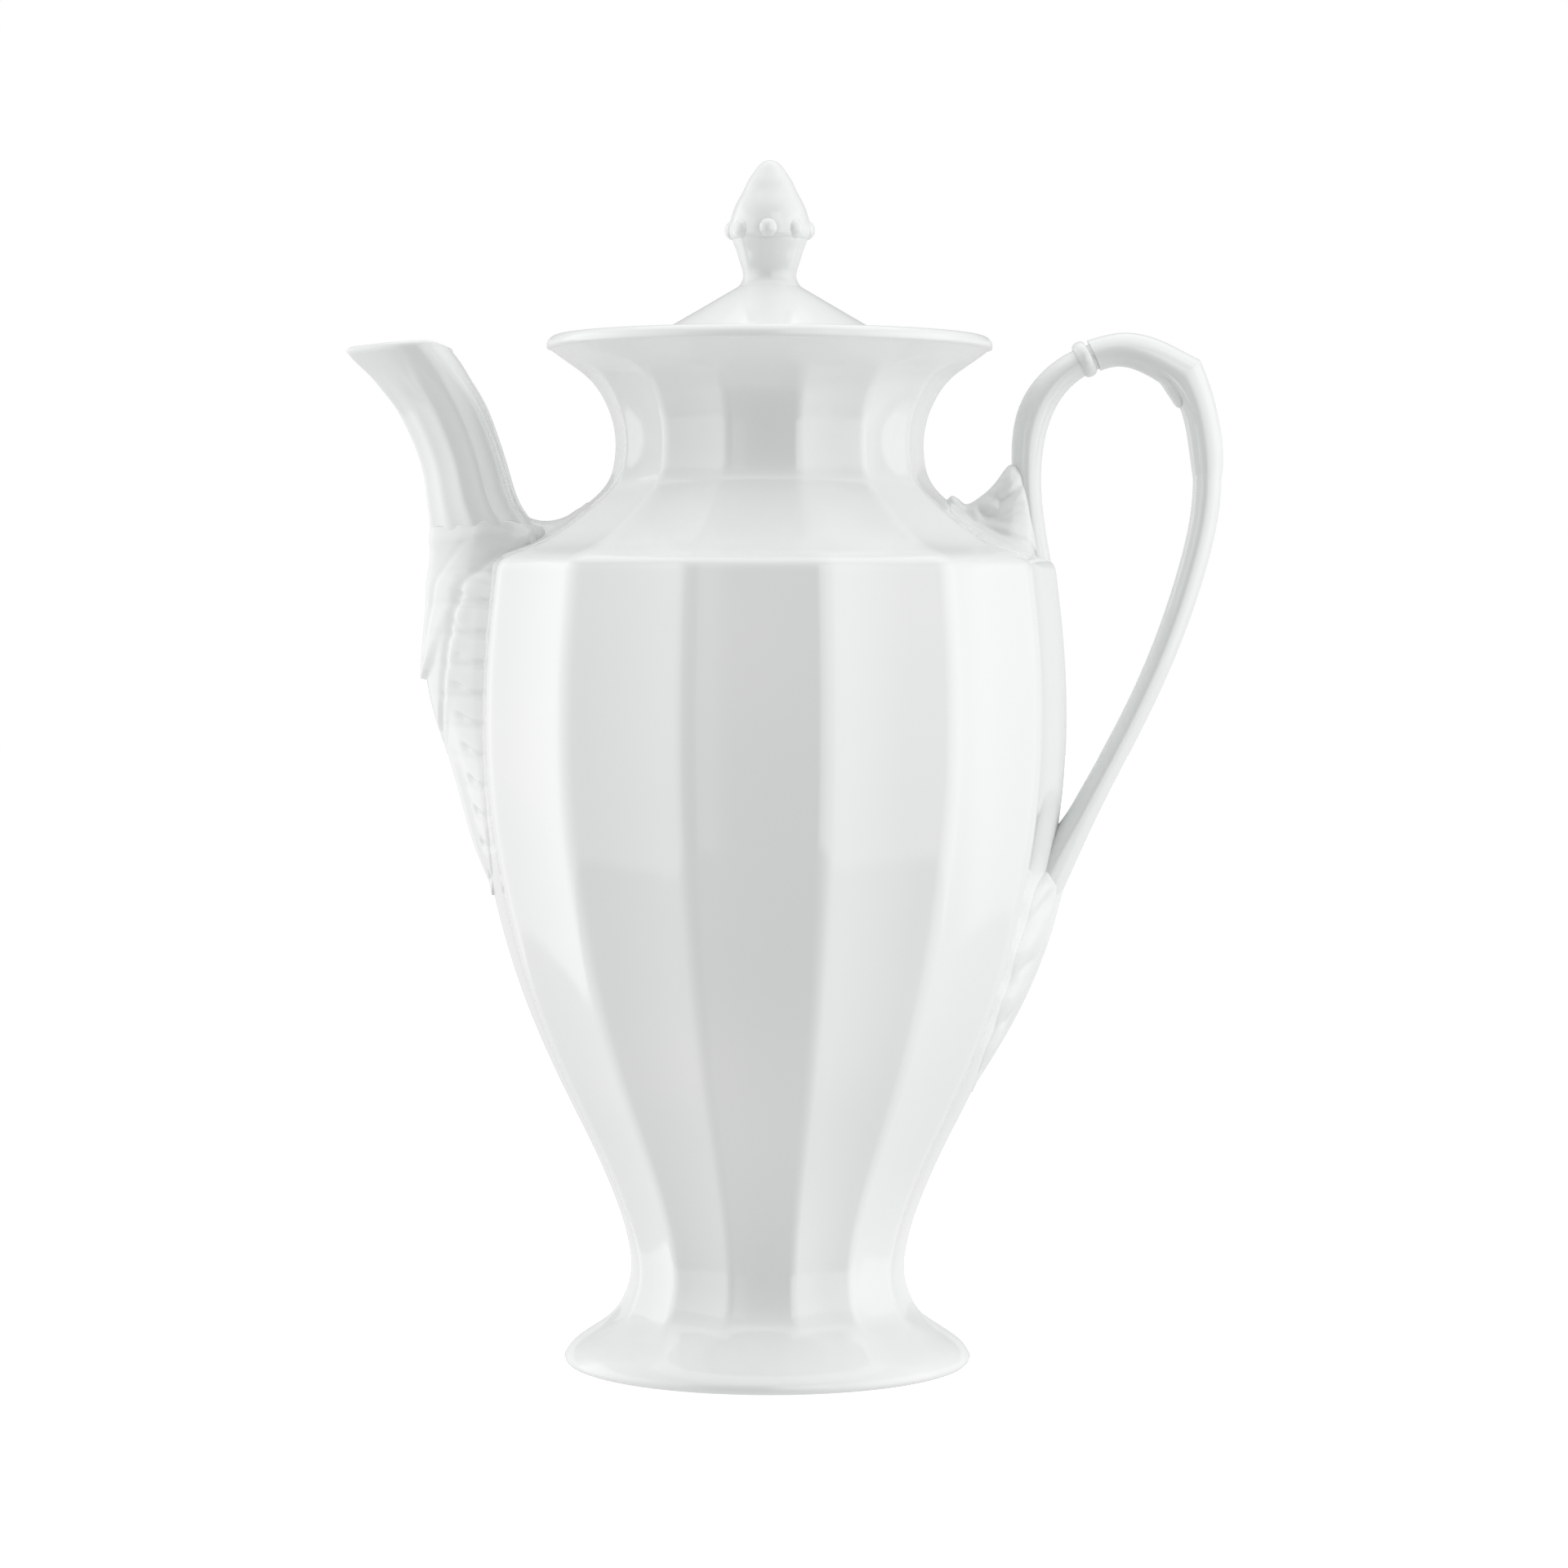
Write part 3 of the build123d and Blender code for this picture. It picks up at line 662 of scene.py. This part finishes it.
def spout_root_leaf(material):
    """Leaf that covers the spout's root: on the wall below, wrapped round the tube above."""
    share = leaf_shares()
    around = np.abs(share)
    side = np.where(share < 0, -1, 1)
    rows = []
    for z in np.arange(ROOT_FOOT, ROOT_TOP + ROOT_END, LEAF_ROW):
        wrap = smooth_between(z, *ROOT_WRAP)
        y = share * ROOT_WIDTH(z) * (0.95 + 0.05 * lobe(z, *ROOT_LOBES))
        wall = wall_at(z, y)
        rise = max(ROOT_CREST(z) - wall_at(z, np.zeros(1))[0], 0)
        relief = root_relief(z, np.abs(y), around)
        out = wall + (rise * ROOT_SHAPE(around) + relief + 0.6) * edge_roll(share, 0.88) - 0.3
        end = 1 - smooth_between(z, ROOT_TOP - 3.0, ROOT_TOP + ROOT_END)
        lift = ROOT_ARCH * wrap * (smooth_between(around, 0.25, 0.6) - smooth_between(around, 0.7, 0.95))
        flare = ROOT_FLARE * (1 - smooth_between(z, 172, ROOT_TOP))
        tube_x, tube_y = tube_side(z + lift, around, 0.8 * end - 0.3 + 0.4 * relief * end)
        tube_y = tube_y + flare * smooth_between(around, 0.2, 0.7)
        inner_x, inner_y = tube_side(z + lift, around, -1.4)
        front = np.column_stack([
            -(out * (1 - wrap) + tube_x * wrap),
            y * (1 - wrap) + tube_y * side * wrap,
            z + lift,
        ])
        back = np.column_stack([
            -((wall - LEAF_DEPTH) * (1 - wrap) + inner_x * wrap),
            y * (1 - wrap) + inner_y * side * wrap,
            z + lift,
        ])
        rows.append(np.vstack([front, back[::-1]]))
    mesh = skin("spout_root_acanthus", np.array(rows))
    link("spout_root_acanthus", mesh, material, "pot", "spout_root_leaf")


# The same for the leaf under the handle.
TAIL_CREST = line_of([(60, 44.6), (66.9, 49.0), (75.9, 54.2), (84.9, 58.5), (93.9, 61.9), (101.4, 64.0),
                      (108, 65.8)])
TAIL_WIDTH = line_of([(60, 1.0), (66, 4.6), (76, 8.2), (86, 10.8), (96, 12.0), (103, 10.6), (107, 8.2),
                      (109.6, 4.5)])
TAIL_SHAPE = line_of([(0, 1), (0.2, 0.94), (0.42, 0.66), (0.62, 0.46), (0.82, 0.26), (1.0, 0.05)])
TAIL_LOBES = (66.5, 13.6)   # lowest notch of the lobed edge and the lobes' pitch
TAIL_SLANT = 0.8            # how steeply the veins run down from the midrib
TAIL_FOOT = 60.2            # lowest and highest point of the leaf
TAIL_TOP = 109.4


def tail_relief(z, y, share):
    """Carving: swelling lobes with an eye between each two of them, and a midrib."""
    slant = z + TAIL_SLANT * y
    fade = smooth_between(z, 60, 74)
    outward = smooth_between(share, 0.1, 0.6) - 0.85 * smooth_between(share, 0.72, 1.0)
    swell = 0.8 * lobe(slant, *TAIL_LOBES, 0.3) * outward
    eye = 0.5 * (1 - lobe(slant, *TAIL_LOBES, 0.1)) * near(share, 0.6, 0.2)
    midrib = 0.5 * near(y, 2.4, 0.7)
    return (swell - eye - midrib) * fade - 2.5 * smooth_between(z, 105.5, TAIL_TOP) * (1 - 0.6 * share)


def handle_tail_leaf(material):
    """Leaf under the handle: its outline and height follow the wall it lies on."""
    share = leaf_shares()
    rows = []
    for z in np.arange(TAIL_FOOT, TAIL_TOP, LEAF_ROW):
        half = TAIL_WIDTH(z)
        y = share * half * (0.84 + 0.16 * lobe(z + TAIL_SLANT * half, *TAIL_LOBES, 0.25))
        wall = wall_at(z, y)
        rise = max(TAIL_CREST(z) - wall_at(z, np.zeros(1))[0], 0)
        face = rise * TAIL_SHAPE(np.abs(share)) + tail_relief(z, np.abs(y), np.abs(share))
        out = wall + (face + 0.45) * edge_roll(share, 0.86) - 0.3
        front = np.column_stack([out, y, np.full_like(y, z)])
        back = np.column_stack([wall - LEAF_DEPTH, y, np.full_like(y, z)])
        rows.append(np.vstack([front, back[::-1]]))
    mesh = skin("handle_tail_acanthus", np.array(rows))
    link("handle_tail_acanthus", mesh, material, "pot", "handle_tail_leaf")


ROOT_THICKENING = (45, 54)  # reaches between which the web thickens towards the handle
UNDER_GLAZE = 0.6           # how deep a leaf's edge starts in the shoulder
LEAF_BED = 2.0              # how deep its back lies


def leaf_on_shoulder(name, side, reaches, width, ridge, section, fade_out, root_width=0, relief=None):
    """Leaf on the shoulder that rises to a ridge in the middle; section is share out, share up."""
    half_section = spline(section, 60)
    across, up = np.vstack([half_section[::-1], half_section[1:] * (-1, 1)]).T
    rows = []
    for x in reaches:
        y = across * width(x)
        thicker = root_width * smooth_between(x, *ROOT_THICKENING) * near(np.abs(across), 0.24, 0.15)
        y = y + np.sign(y) * thicker
        ground = shoulder_at(x, y)
        rise = max(ridge(x) - shoulder_at(x, np.zeros(1))[0], 0.3)
        rim = 0.3 * near(np.abs(across), 0.84, 0.12) + 0.1
        shown = smooth_between(x, reaches[0], reaches[0] + 2.2) - smooth_between(x, *fade_out)
        face = rise * up + rim + UNDER_GLAZE
        z = ground - UNDER_GLAZE + face * edge_roll(across, 0.7) * shown
        if relief is not None:
            y = y + np.sign(y) * relief(x, z, np.abs(y))
        front = np.column_stack([np.full_like(y, side * x), y, z])
        back = np.column_stack([np.full_like(y, side * x), y, ground - LEAF_BED])
        rows.append(np.vstack([front, back[::-1]]))
    return skin(name, np.array(rows))


# Reach, value: height of the leaf's ridge and half its width. Then share out, share up of its section.
BRACKET_RIDGE = line_of([(38.0, 192.2), (40.2, 191.5), (41.9, 190.5), (43.2, 189.6), (46.1, 191.0),
                         (49.9, 194.6), (52.9, 198.2), (55.0, 197.4), (57.0, 190.0), (59.0, 183.0),
                         (61.0, 178.5)])
BRACKET_WIDTH = line_of([(38.0, 6.0), (40.0, 10.5), (43.5, 14.2), (48, 15.6), (54, 14.8), (57, 12.0),
                         (59, 8.0), (61, 4.5)])
WEB_SECTION = [(0, 1), (0.09, 0.99), (0.17, 0.93), (0.235, 0.76), (0.27, 0.52), (0.33, 0.28), (0.45, 0.12),
               (0.64, 0.03), (0.86, 0.0), (1.0, 0.0)]
BRACKET_ROOT = 2.2          # how much the web thickens on each side where it meets the handle
VOLUTE = (48.4, 189.2)      # reach and height of the volute's eye


def stroke(x, z, start, end, width):
    """Bell around a straight stroke between two points of the side view."""
    start = np.array(start, float)
    run = np.array(end, float) - start
    t = np.clip(((x - start[0]) * run[0] + (z - start[1]) * run[1]) / (run @ run), 0, 1)
    gap = np.hypot(x - start[0] - t * run[0], z - start[1] - t * run[1])
    return np.exp(-(gap / width) ** 2)


def bracket_relief(x, z, y):
    """Volute and leaf ribs on both sides of the web."""
    gap = np.hypot(x - VOLUTE[0], z - VOLUTE[1])
    volute = 0.7 * near(gap, 0, 1.2) - 0.5 * near(gap, 2.4, 0.7)
    ribs = 0.5 * stroke(x, z, (49.5, 191.5), (54.5, 199.5), 0.9)
    ribs = ribs + 0.6 * stroke(x, z, (50.5, 187.5), (58, 189.5), 1.2)
    ribs = ribs + 0.5 * stroke(x, z, (46.0, 186.0), (56.5, 182.6), 1.1)
    furrow = 0.6 * stroke(x, z, (51.5, 190.5), (57.0, 195.0), 0.8)
    inside = smooth_between(y, 0.5, 2.5) * (1 - smooth_between(y, 7, 11))
    return (volute + ribs - furrow) * inside


def handle_bracket(material):
    reaches = np.arange(38.2, 60.8, 0.22)
    mesh = leaf_on_shoulder("handle_bracket_leaf", 1, reaches, BRACKET_WIDTH, BRACKET_RIDGE, WEB_SECTION,
                            (57.5, 60.6), BRACKET_ROOT, bracket_relief)
    link("handle_bracket_leaf", mesh, material, "pot", "handle_bracket")


SPOUT_RIDGE = line_of([(38.0, 191.6), (39.4, 189.8), (41.0, 189.0), (42.6, 188.2), (44.6, 186.9),
                       (48.5, 185.8), (52.7, 186.4), (57, 188.0), (61, 187.0)])
SPOUT_SPREAD = line_of([(38.0, 5.0), (40.0, 9.5), (43.5, 12.8), (48, 14.4), (54, 14.6), (57, 13.0),
                        (59, 9.5), (61, 6.5)])
SADDLE_SECTION = [(0, 1), (0.12, 0.985), (0.24, 0.9), (0.33, 0.7), (0.42, 0.4), (0.54, 0.16), (0.7, 0.04),
                  (0.86, 0.0), (1.0, 0.0)]


def spout_shoulder_leaf(material):
    reaches = np.arange(38.4, 60.8, 0.24)
    mesh = leaf_on_shoulder("spout_shoulder_acanthus", -1, reaches, SPOUT_SPREAD, SPOUT_RIDGE,
                            SADDLE_SECTION, (58.0, 60.6))
    link("spout_shoulder_acanthus", mesh, material, "pot", "spout_shoulder_leaf")


# ------------------------------------------------------------------ lid and knob
LATHE_COLUMNS = 144
# Radius and height of the lid's cone from the knob to its flange, its edge and its underside.
LID_TOP = [(4.2, 239.6), (5.8, 238.1), (7.4, 236.95), (9.2, 235.9), (15.7, 232.1), (24, 227.3), (31, 223.6),
           (35.5, 222.3), (37.6, 221.8)]
LID_EDGE = (37.4, 220.9, 0.95)              # centre and radius of the flange's rounded edge
LID_UNDER = [(33, 219.95), (29.0, 219.95), (26.05, 219.95), (26.05, 221.4), (22, 223.8), (12, 229.8),
             (6, 232.6), (0.4, 233.0)]
COLLAR = [(26.05, 220.5), (26.05, 208.2), (26.6, 207.9), (28.3, 207.9), (29.0, 208.8), (29.05, 220.5)]


def lathe(name, profile):
    """Solid of revolution from radius and height; the profile starts and ends near the axis."""
    angle = np.linspace(0, 2 * math.pi, LATHE_COLUMNS, endpoint=False)
    rows = []
    for r, z in profile:
        rows.append(np.column_stack([r * np.cos(angle), r * np.sin(angle), np.full_like(angle, z)]))
    return skin(name, np.array(rows))


def lathe_ring(name, profile):
    """Ring of revolution whose profile closes on itself."""
    r, z = profile.T
    turns = np.linspace(0, 2 * math.pi, LATHE_COLUMNS, endpoint=False)
    return torus(name, np.array([np.column_stack([r * math.cos(a), r * math.sin(a), z]) for a in turns]))


def lid(material):
    top = evenly(spline(LID_TOP, 300), 0.4)
    profile = np.vstack([[(0.4, 239.8)], top, arc(*LID_EDGE, 80, -90, 8), LID_UNDER])
    mesh = lathe("lid_dome_smooth", profile)
    link("lid_dome_smooth", mesh, material, "lid", "lid_dome", slot="lid_porcelain")
    ring = evenly(np.array([*COLLAR, COLLAR[0]], float), 0.5)[:-1]
    mesh = lathe_ring("lid_collar_ring", ring)
    link("lid_collar_ring", mesh, material, "lid", "lid_collar", slot="lid_porcelain")


# Radius and height of the knob's waisted cup and of its pointed cone.
CUP_SIDE = [(8.6, 235.6), (7.3, 236.75), (6.2, 238.3), (5.85, 239.8), (6.15, 241.3), (6.75, 243.2),
            (7.4, 245.3), (8.15, 247.3), (8.35, 248.4)]
CONE_SIDE = [(7.9, 247.3), (8.65, 248.0), (8.95, 249.2), (8.9, 250.6), (8.6, 252.0), (8.05, 253.8),
             (7.1, 255.9), (5.95, 258.0), (4.9, 260.2), (3.7, 262.1), (2.2, 264.0), (0.9, 264.8),
             (0.15, 264.95)]
PEARL_COUNT = 8
PEARL_RADIUS = 2.2
PEARL_CIRCLE = 7.75
PEARL_Z = 249.6


def pearl(turn):
    """One bead of the ring, in a direction from the knob's axis."""
    centre = np.array([PEARL_CIRCLE * math.cos(turn), PEARL_CIRCLE * math.sin(turn), PEARL_Z])
    around = np.linspace(0, 2 * math.pi, 28, endpoint=False)
    rows = []
    for r, z in arc(0, 0, PEARL_RADIUS, -86, 86, 18):
        rows.append(np.column_stack([r * np.cos(around), r * np.sin(around), np.full(28, z)]) + centre)
    return skin("pearl", np.array(rows))


def knob(material):
    cup = evenly(spline(CUP_SIDE, 200), 0.25)
    mesh = lathe("knob_cup_waisted", np.vstack([[(0.3, 235.6)], cup, [(0.3, 248.6)]]))
    link("knob_cup_waisted", mesh, material, "lid", "knob_cup", slot="lid_porcelain")
    cone = evenly(spline(CONE_SIDE, 240), 0.25)
    mesh = lathe("knob_cone_pointed", np.vstack([[(0.3, 247.6)], cone]))
    link("knob_cone_pointed", mesh, material, "lid", "knob_cone", slot="lid_porcelain")
    pearls = [pearl(2 * math.pi * place / PEARL_COUNT) for place in range(PEARL_COUNT)]
    mesh = joined("knob_pearl_ring", pearls)
    link("knob_pearl_ring", mesh, material, "lid", "knob_pearls", slot="lid_porcelain")


def joined(name, meshes):
    """One mesh made of several, which are then removed."""
    points = []
    faces = []
    for mesh in meshes:
        base = len(points)
        points += [tuple(v.co) for v in mesh.vertices]
        faces += [[base + i for i in face.vertices] for face in mesh.polygons]
        bpy.data.meshes.remove(mesh)
    done = bpy.data.meshes.new(name)
    done.from_pydata(points, [], faces)
    return done


# ------------------------------------------------------------------ materials
def porcelain():
    """White porcelain under a clear gloss glaze that pools faintly grey-green."""
    material = bpy.data.materials.new("glazed_porcelain")
    material.use_nodes = True
    nodes = material.node_tree.nodes
    links = material.node_tree.links
    shader = nodes["Principled BSDF"]
    shader.inputs["IOR"].default_value = 1.58
    place = nodes.new("ShaderNodeTexCoord")
    cloud = nodes.new("ShaderNodeTexNoise")
    cloud.inputs["Scale"].default_value = 28
    cloud.inputs["Detail"].default_value = 3
    links.new(place.outputs["Object"], cloud.inputs["Vector"])
    tone = nodes.new("ShaderNodeValToRGB")
    tone.color_ramp.elements[0].position = 0.3
    tone.color_ramp.elements[0].color = (0.845, 0.868, 0.858, 1)
    tone.color_ramp.elements[1].position = 0.7
    tone.color_ramp.elements[1].color = (0.868, 0.882, 0.874, 1)
    links.new(cloud.outputs["Fac"], tone.inputs["Fac"])
    links.new(tone.outputs["Color"], shader.inputs["Base Color"])
    gloss = nodes.new("ShaderNodeMapRange")
    gloss.inputs["To Min"].default_value = 0.045
    gloss.inputs["To Max"].default_value = 0.085
    links.new(cloud.outputs["Fac"], gloss.inputs["Value"])
    links.new(gloss.outputs["Result"], shader.inputs["Roughness"])
    ripple = nodes.new("ShaderNodeTexNoise")
    ripple.inputs["Scale"].default_value = 120
    ripple.inputs["Detail"].default_value = 1
    links.new(place.outputs["Object"], ripple.inputs["Vector"])
    bump = nodes.new("ShaderNodeBump")
    bump.inputs["Strength"].default_value = 0.12
    bump.inputs["Distance"].default_value = 0.0002
    links.new(ripple.outputs["Fac"], bump.inputs["Height"])
    links.new(bump.outputs["Normal"], shader.inputs["Normal"])
    return material


def unglazed():
    """Bare biscuit porcelain of the ground ring: fine, dry grain."""
    material = bpy.data.materials.new("unglazed_biscuit")
    material.use_nodes = True
    nodes = material.node_tree.nodes
    links = material.node_tree.links
    shader = nodes["Principled BSDF"]
    shader.inputs["Roughness"].default_value = 0.75
    grain = nodes.new("ShaderNodeTexNoise")
    grain.inputs["Scale"].default_value = 900
    tone = nodes.new("ShaderNodeValToRGB")
    tone.color_ramp.elements[0].color = (0.72, 0.70, 0.66, 1)
    tone.color_ramp.elements[1].color = (0.84, 0.82, 0.78, 1)
    links.new(grain.outputs["Fac"], tone.inputs["Fac"])
    links.new(tone.outputs["Color"], shader.inputs["Base Color"])
    return material


# ------------------------------------------------------------------ studio
def plain(name, color, glow):
    material = bpy.data.materials.new(name)
    material.use_nodes = True
    shader = material.node_tree.nodes["Principled BSDF"]
    shader.inputs["Base Color"].default_value = (*color, 1)
    shader.inputs["Roughness"].default_value = 0.9
    shader.inputs["Specular IOR Level"].default_value = 0.1
    shader.inputs["Emission Color"].default_value = (1, 1, 1, 1)
    shader.inputs["Emission Strength"].default_value = glow
    return material


FLOOR_RADIUS = 4            # metres


def floor():
    """Wide pale floor that only the camera sees, so that the tent lights the pot from below as well."""
    around = np.linspace(0, 2 * math.pi, 64, endpoint=False)
    points = [(FLOOR_RADIUS * math.cos(t), FLOOR_RADIUS * math.sin(t), 0) for t in around]
    mesh = bpy.data.meshes.new("floor")
    mesh.from_pydata(points, [], [list(range(len(points)))])
    mesh.materials.append(plain("pale_floor", (0.9, 0.9, 0.9), 0.5))
    piece = bpy.data.objects.new("floor", mesh)
    bpy.context.scene.collection.objects.link(piece)
    piece.visible_diffuse = False
    piece.visible_glossy = False
    piece.visible_shadow = False


# Brightness of the light tent by direction: degrees from the camera's side over the pot's right.
TENT = [
    (0, 0.0), (20, 0.3), (40, 1.05), (60, 1.82), (80, 1.78), (100, 1.16), (120, 0.8), (150, 0.7),
    (180, 0.72), (210, 0.82), (240, 1.14), (260, 1.48), (280, 1.6), (300, 1.26), (320, 0.8), (340, 0.14),
]
TENT_TOP = 1.2
TENT_BOTTOM = 0.6
CEILING_START = (0.3, 1.0)  # upward shares of direction between which the walls turn into the ceiling
FLOOR_START = (0.6, 1.0)    # downward shares between which they turn into the light from below
SIDE_EDGE = 6               # softness of a panel's upright edges, in degrees
LEVEL_EDGE = 0.015          # and of its level edges, as an upward share
# What only the glaze's reflections see: panels with nearly hard edges. Degrees of their left and right edge,
# upward share of the direction to their lower and upper edge, and how much brighter than the tent they are,
# or darker where that is below 0.
SOFT_BOXES = [
    ((8, 42), (-0.36, 0.62), 1.3),
    ((42, 112), (-0.36, 0.5), 0.55),
    ((232, 318), (-0.36, 0.5), 0.7),
    ((125, 225), (0.16, 0.74), -0.25),
    ((-10, 370), (0.8, 1.1), 0.5),
]


def maths(tree, operation, *values):
    """Math node with some of its inputs linked and the others set."""
    node = tree.nodes.new("ShaderNodeMath")
    node.operation = operation
    for socket, value in zip(node.inputs, values):
        if isinstance(value, (int, float)):
            socket.default_value = value
        else:
            tree.links.new(value, socket)
    return node.outputs["Value"]


def rise(tree, value, low, high):
    """0 below low and 1 above high, smoothly."""
    node = tree.nodes.new("ShaderNodeMapRange")
    node.interpolation_type = "SMOOTHSTEP"
    node.inputs["From Min"].default_value = low
    node.inputs["From Max"].default_value = high
    tree.links.new(value, node.inputs["Value"])
    return node.outputs["Result"]


def between(tree, value, low, high, edge):
    """1 between two limits and 0 outside them, with soft edges."""
    mirrored = maths(tree, "MULTIPLY", value, -1)
    return maths(tree, "MULTIPLY", rise(tree, value, low - edge, low + edge),
                 rise(tree, mirrored, -high - edge, -high + edge))


def tent():
    """White light tent: brightest at both sides and dark round the camera, and plain white to look at."""
    world = bpy.data.worlds.new("light_tent")
    world.use_nodes = True
    tree = world.node_tree
    place = tree.nodes.new("ShaderNodeTexCoord")
    split = tree.nodes.new("ShaderNodeSeparateXYZ")
    tree.links.new(place.outputs["Generated"], split.inputs["Vector"])
    towards_camera = maths(tree, "MULTIPLY", split.outputs["Y"], -1)
    turn = maths(tree, "ARCTAN2", split.outputs["X"], towards_camera)
    share = maths(tree, "FRACT", maths(tree, "DIVIDE", turn, 2 * math.pi))
    ramp = tree.nodes.new("ShaderNodeValToRGB")
    ramp.color_ramp.interpolation = "B_SPLINE"
    stops = ramp.color_ramp.elements
    brightest = max(level for _, level in TENT)
    for stop in (stops[0], stops[1]):
        stop.color = (*[TENT[0][1] / brightest] * 3, 1)
    for degrees, level in TENT[1:]:
        stops.new(degrees / 360).color = (*[level / brightest] * 3, 1)
    tree.links.new(share, ramp.inputs["Fac"])
    level = maths(tree, "MULTIPLY", ramp.outputs["Color"], brightest)
    upward = split.outputs["Z"]
    downward = maths(tree, "MULTIPLY", upward, -1)
    ends = (rise(tree, upward, *CEILING_START), TENT_TOP), (rise(tree, downward, *FLOOR_START), TENT_BOTTOM)
    for weight, end in ends:
        gap = maths(tree, "SUBTRACT", end, level)
        level = maths(tree, "MULTIPLY_ADD", gap, weight, level)
    path = tree.nodes.new("ShaderNodeLightPath")
    glossy = path.outputs["Is Glossy Ray"]
    for (left, right), (bottom, top), extra in SOFT_BOXES:
        across = between(tree, share, left / 360, right / 360, SIDE_EDGE / 360)
        up = between(tree, upward, bottom, top, LEVEL_EDGE)
        box = maths(tree, "MULTIPLY", maths(tree, "MULTIPLY", across, up), glossy)
        level = maths(tree, "MULTIPLY_ADD", box, extra, level)
    # Reflections seen after a diffuse bounce add little light and much noise, so they see none.
    stray = maths(tree, "MULTIPLY", glossy, maths(tree, "MINIMUM", path.outputs["Diffuse Depth"], 1))
    level = maths(tree, "MULTIPLY", level, maths(tree, "SUBTRACT", 1, stray))
    seen = path.outputs["Is Camera Ray"]
    level = maths(tree, "MULTIPLY_ADD", maths(tree, "SUBTRACT", 1, level), seen, level)
    background = tree.nodes["Background"]
    background.inputs["Color"].default_value = (1, 1, 1, 1)
    tree.links.new(level, background.inputs["Strength"])
    bpy.context.scene.world = world


def studio():
    bpy.context.scene.view_settings.view_transform = "Standard"
    tent()
    floor()


glaze = porcelain()
pot_vessel(glaze, unglazed())
spout_tube(glaze)
spout_root_leaf(glaze)
spout_shoulder_leaf(glaze)
handle_loop(glaze)
handle_ring(glaze)
thumb_leaf(glaze)
curl_leaf(glaze)
handle_bracket(glaze)
handle_tail_leaf(glaze)
lid(glaze)
knob(glaze)
studio()
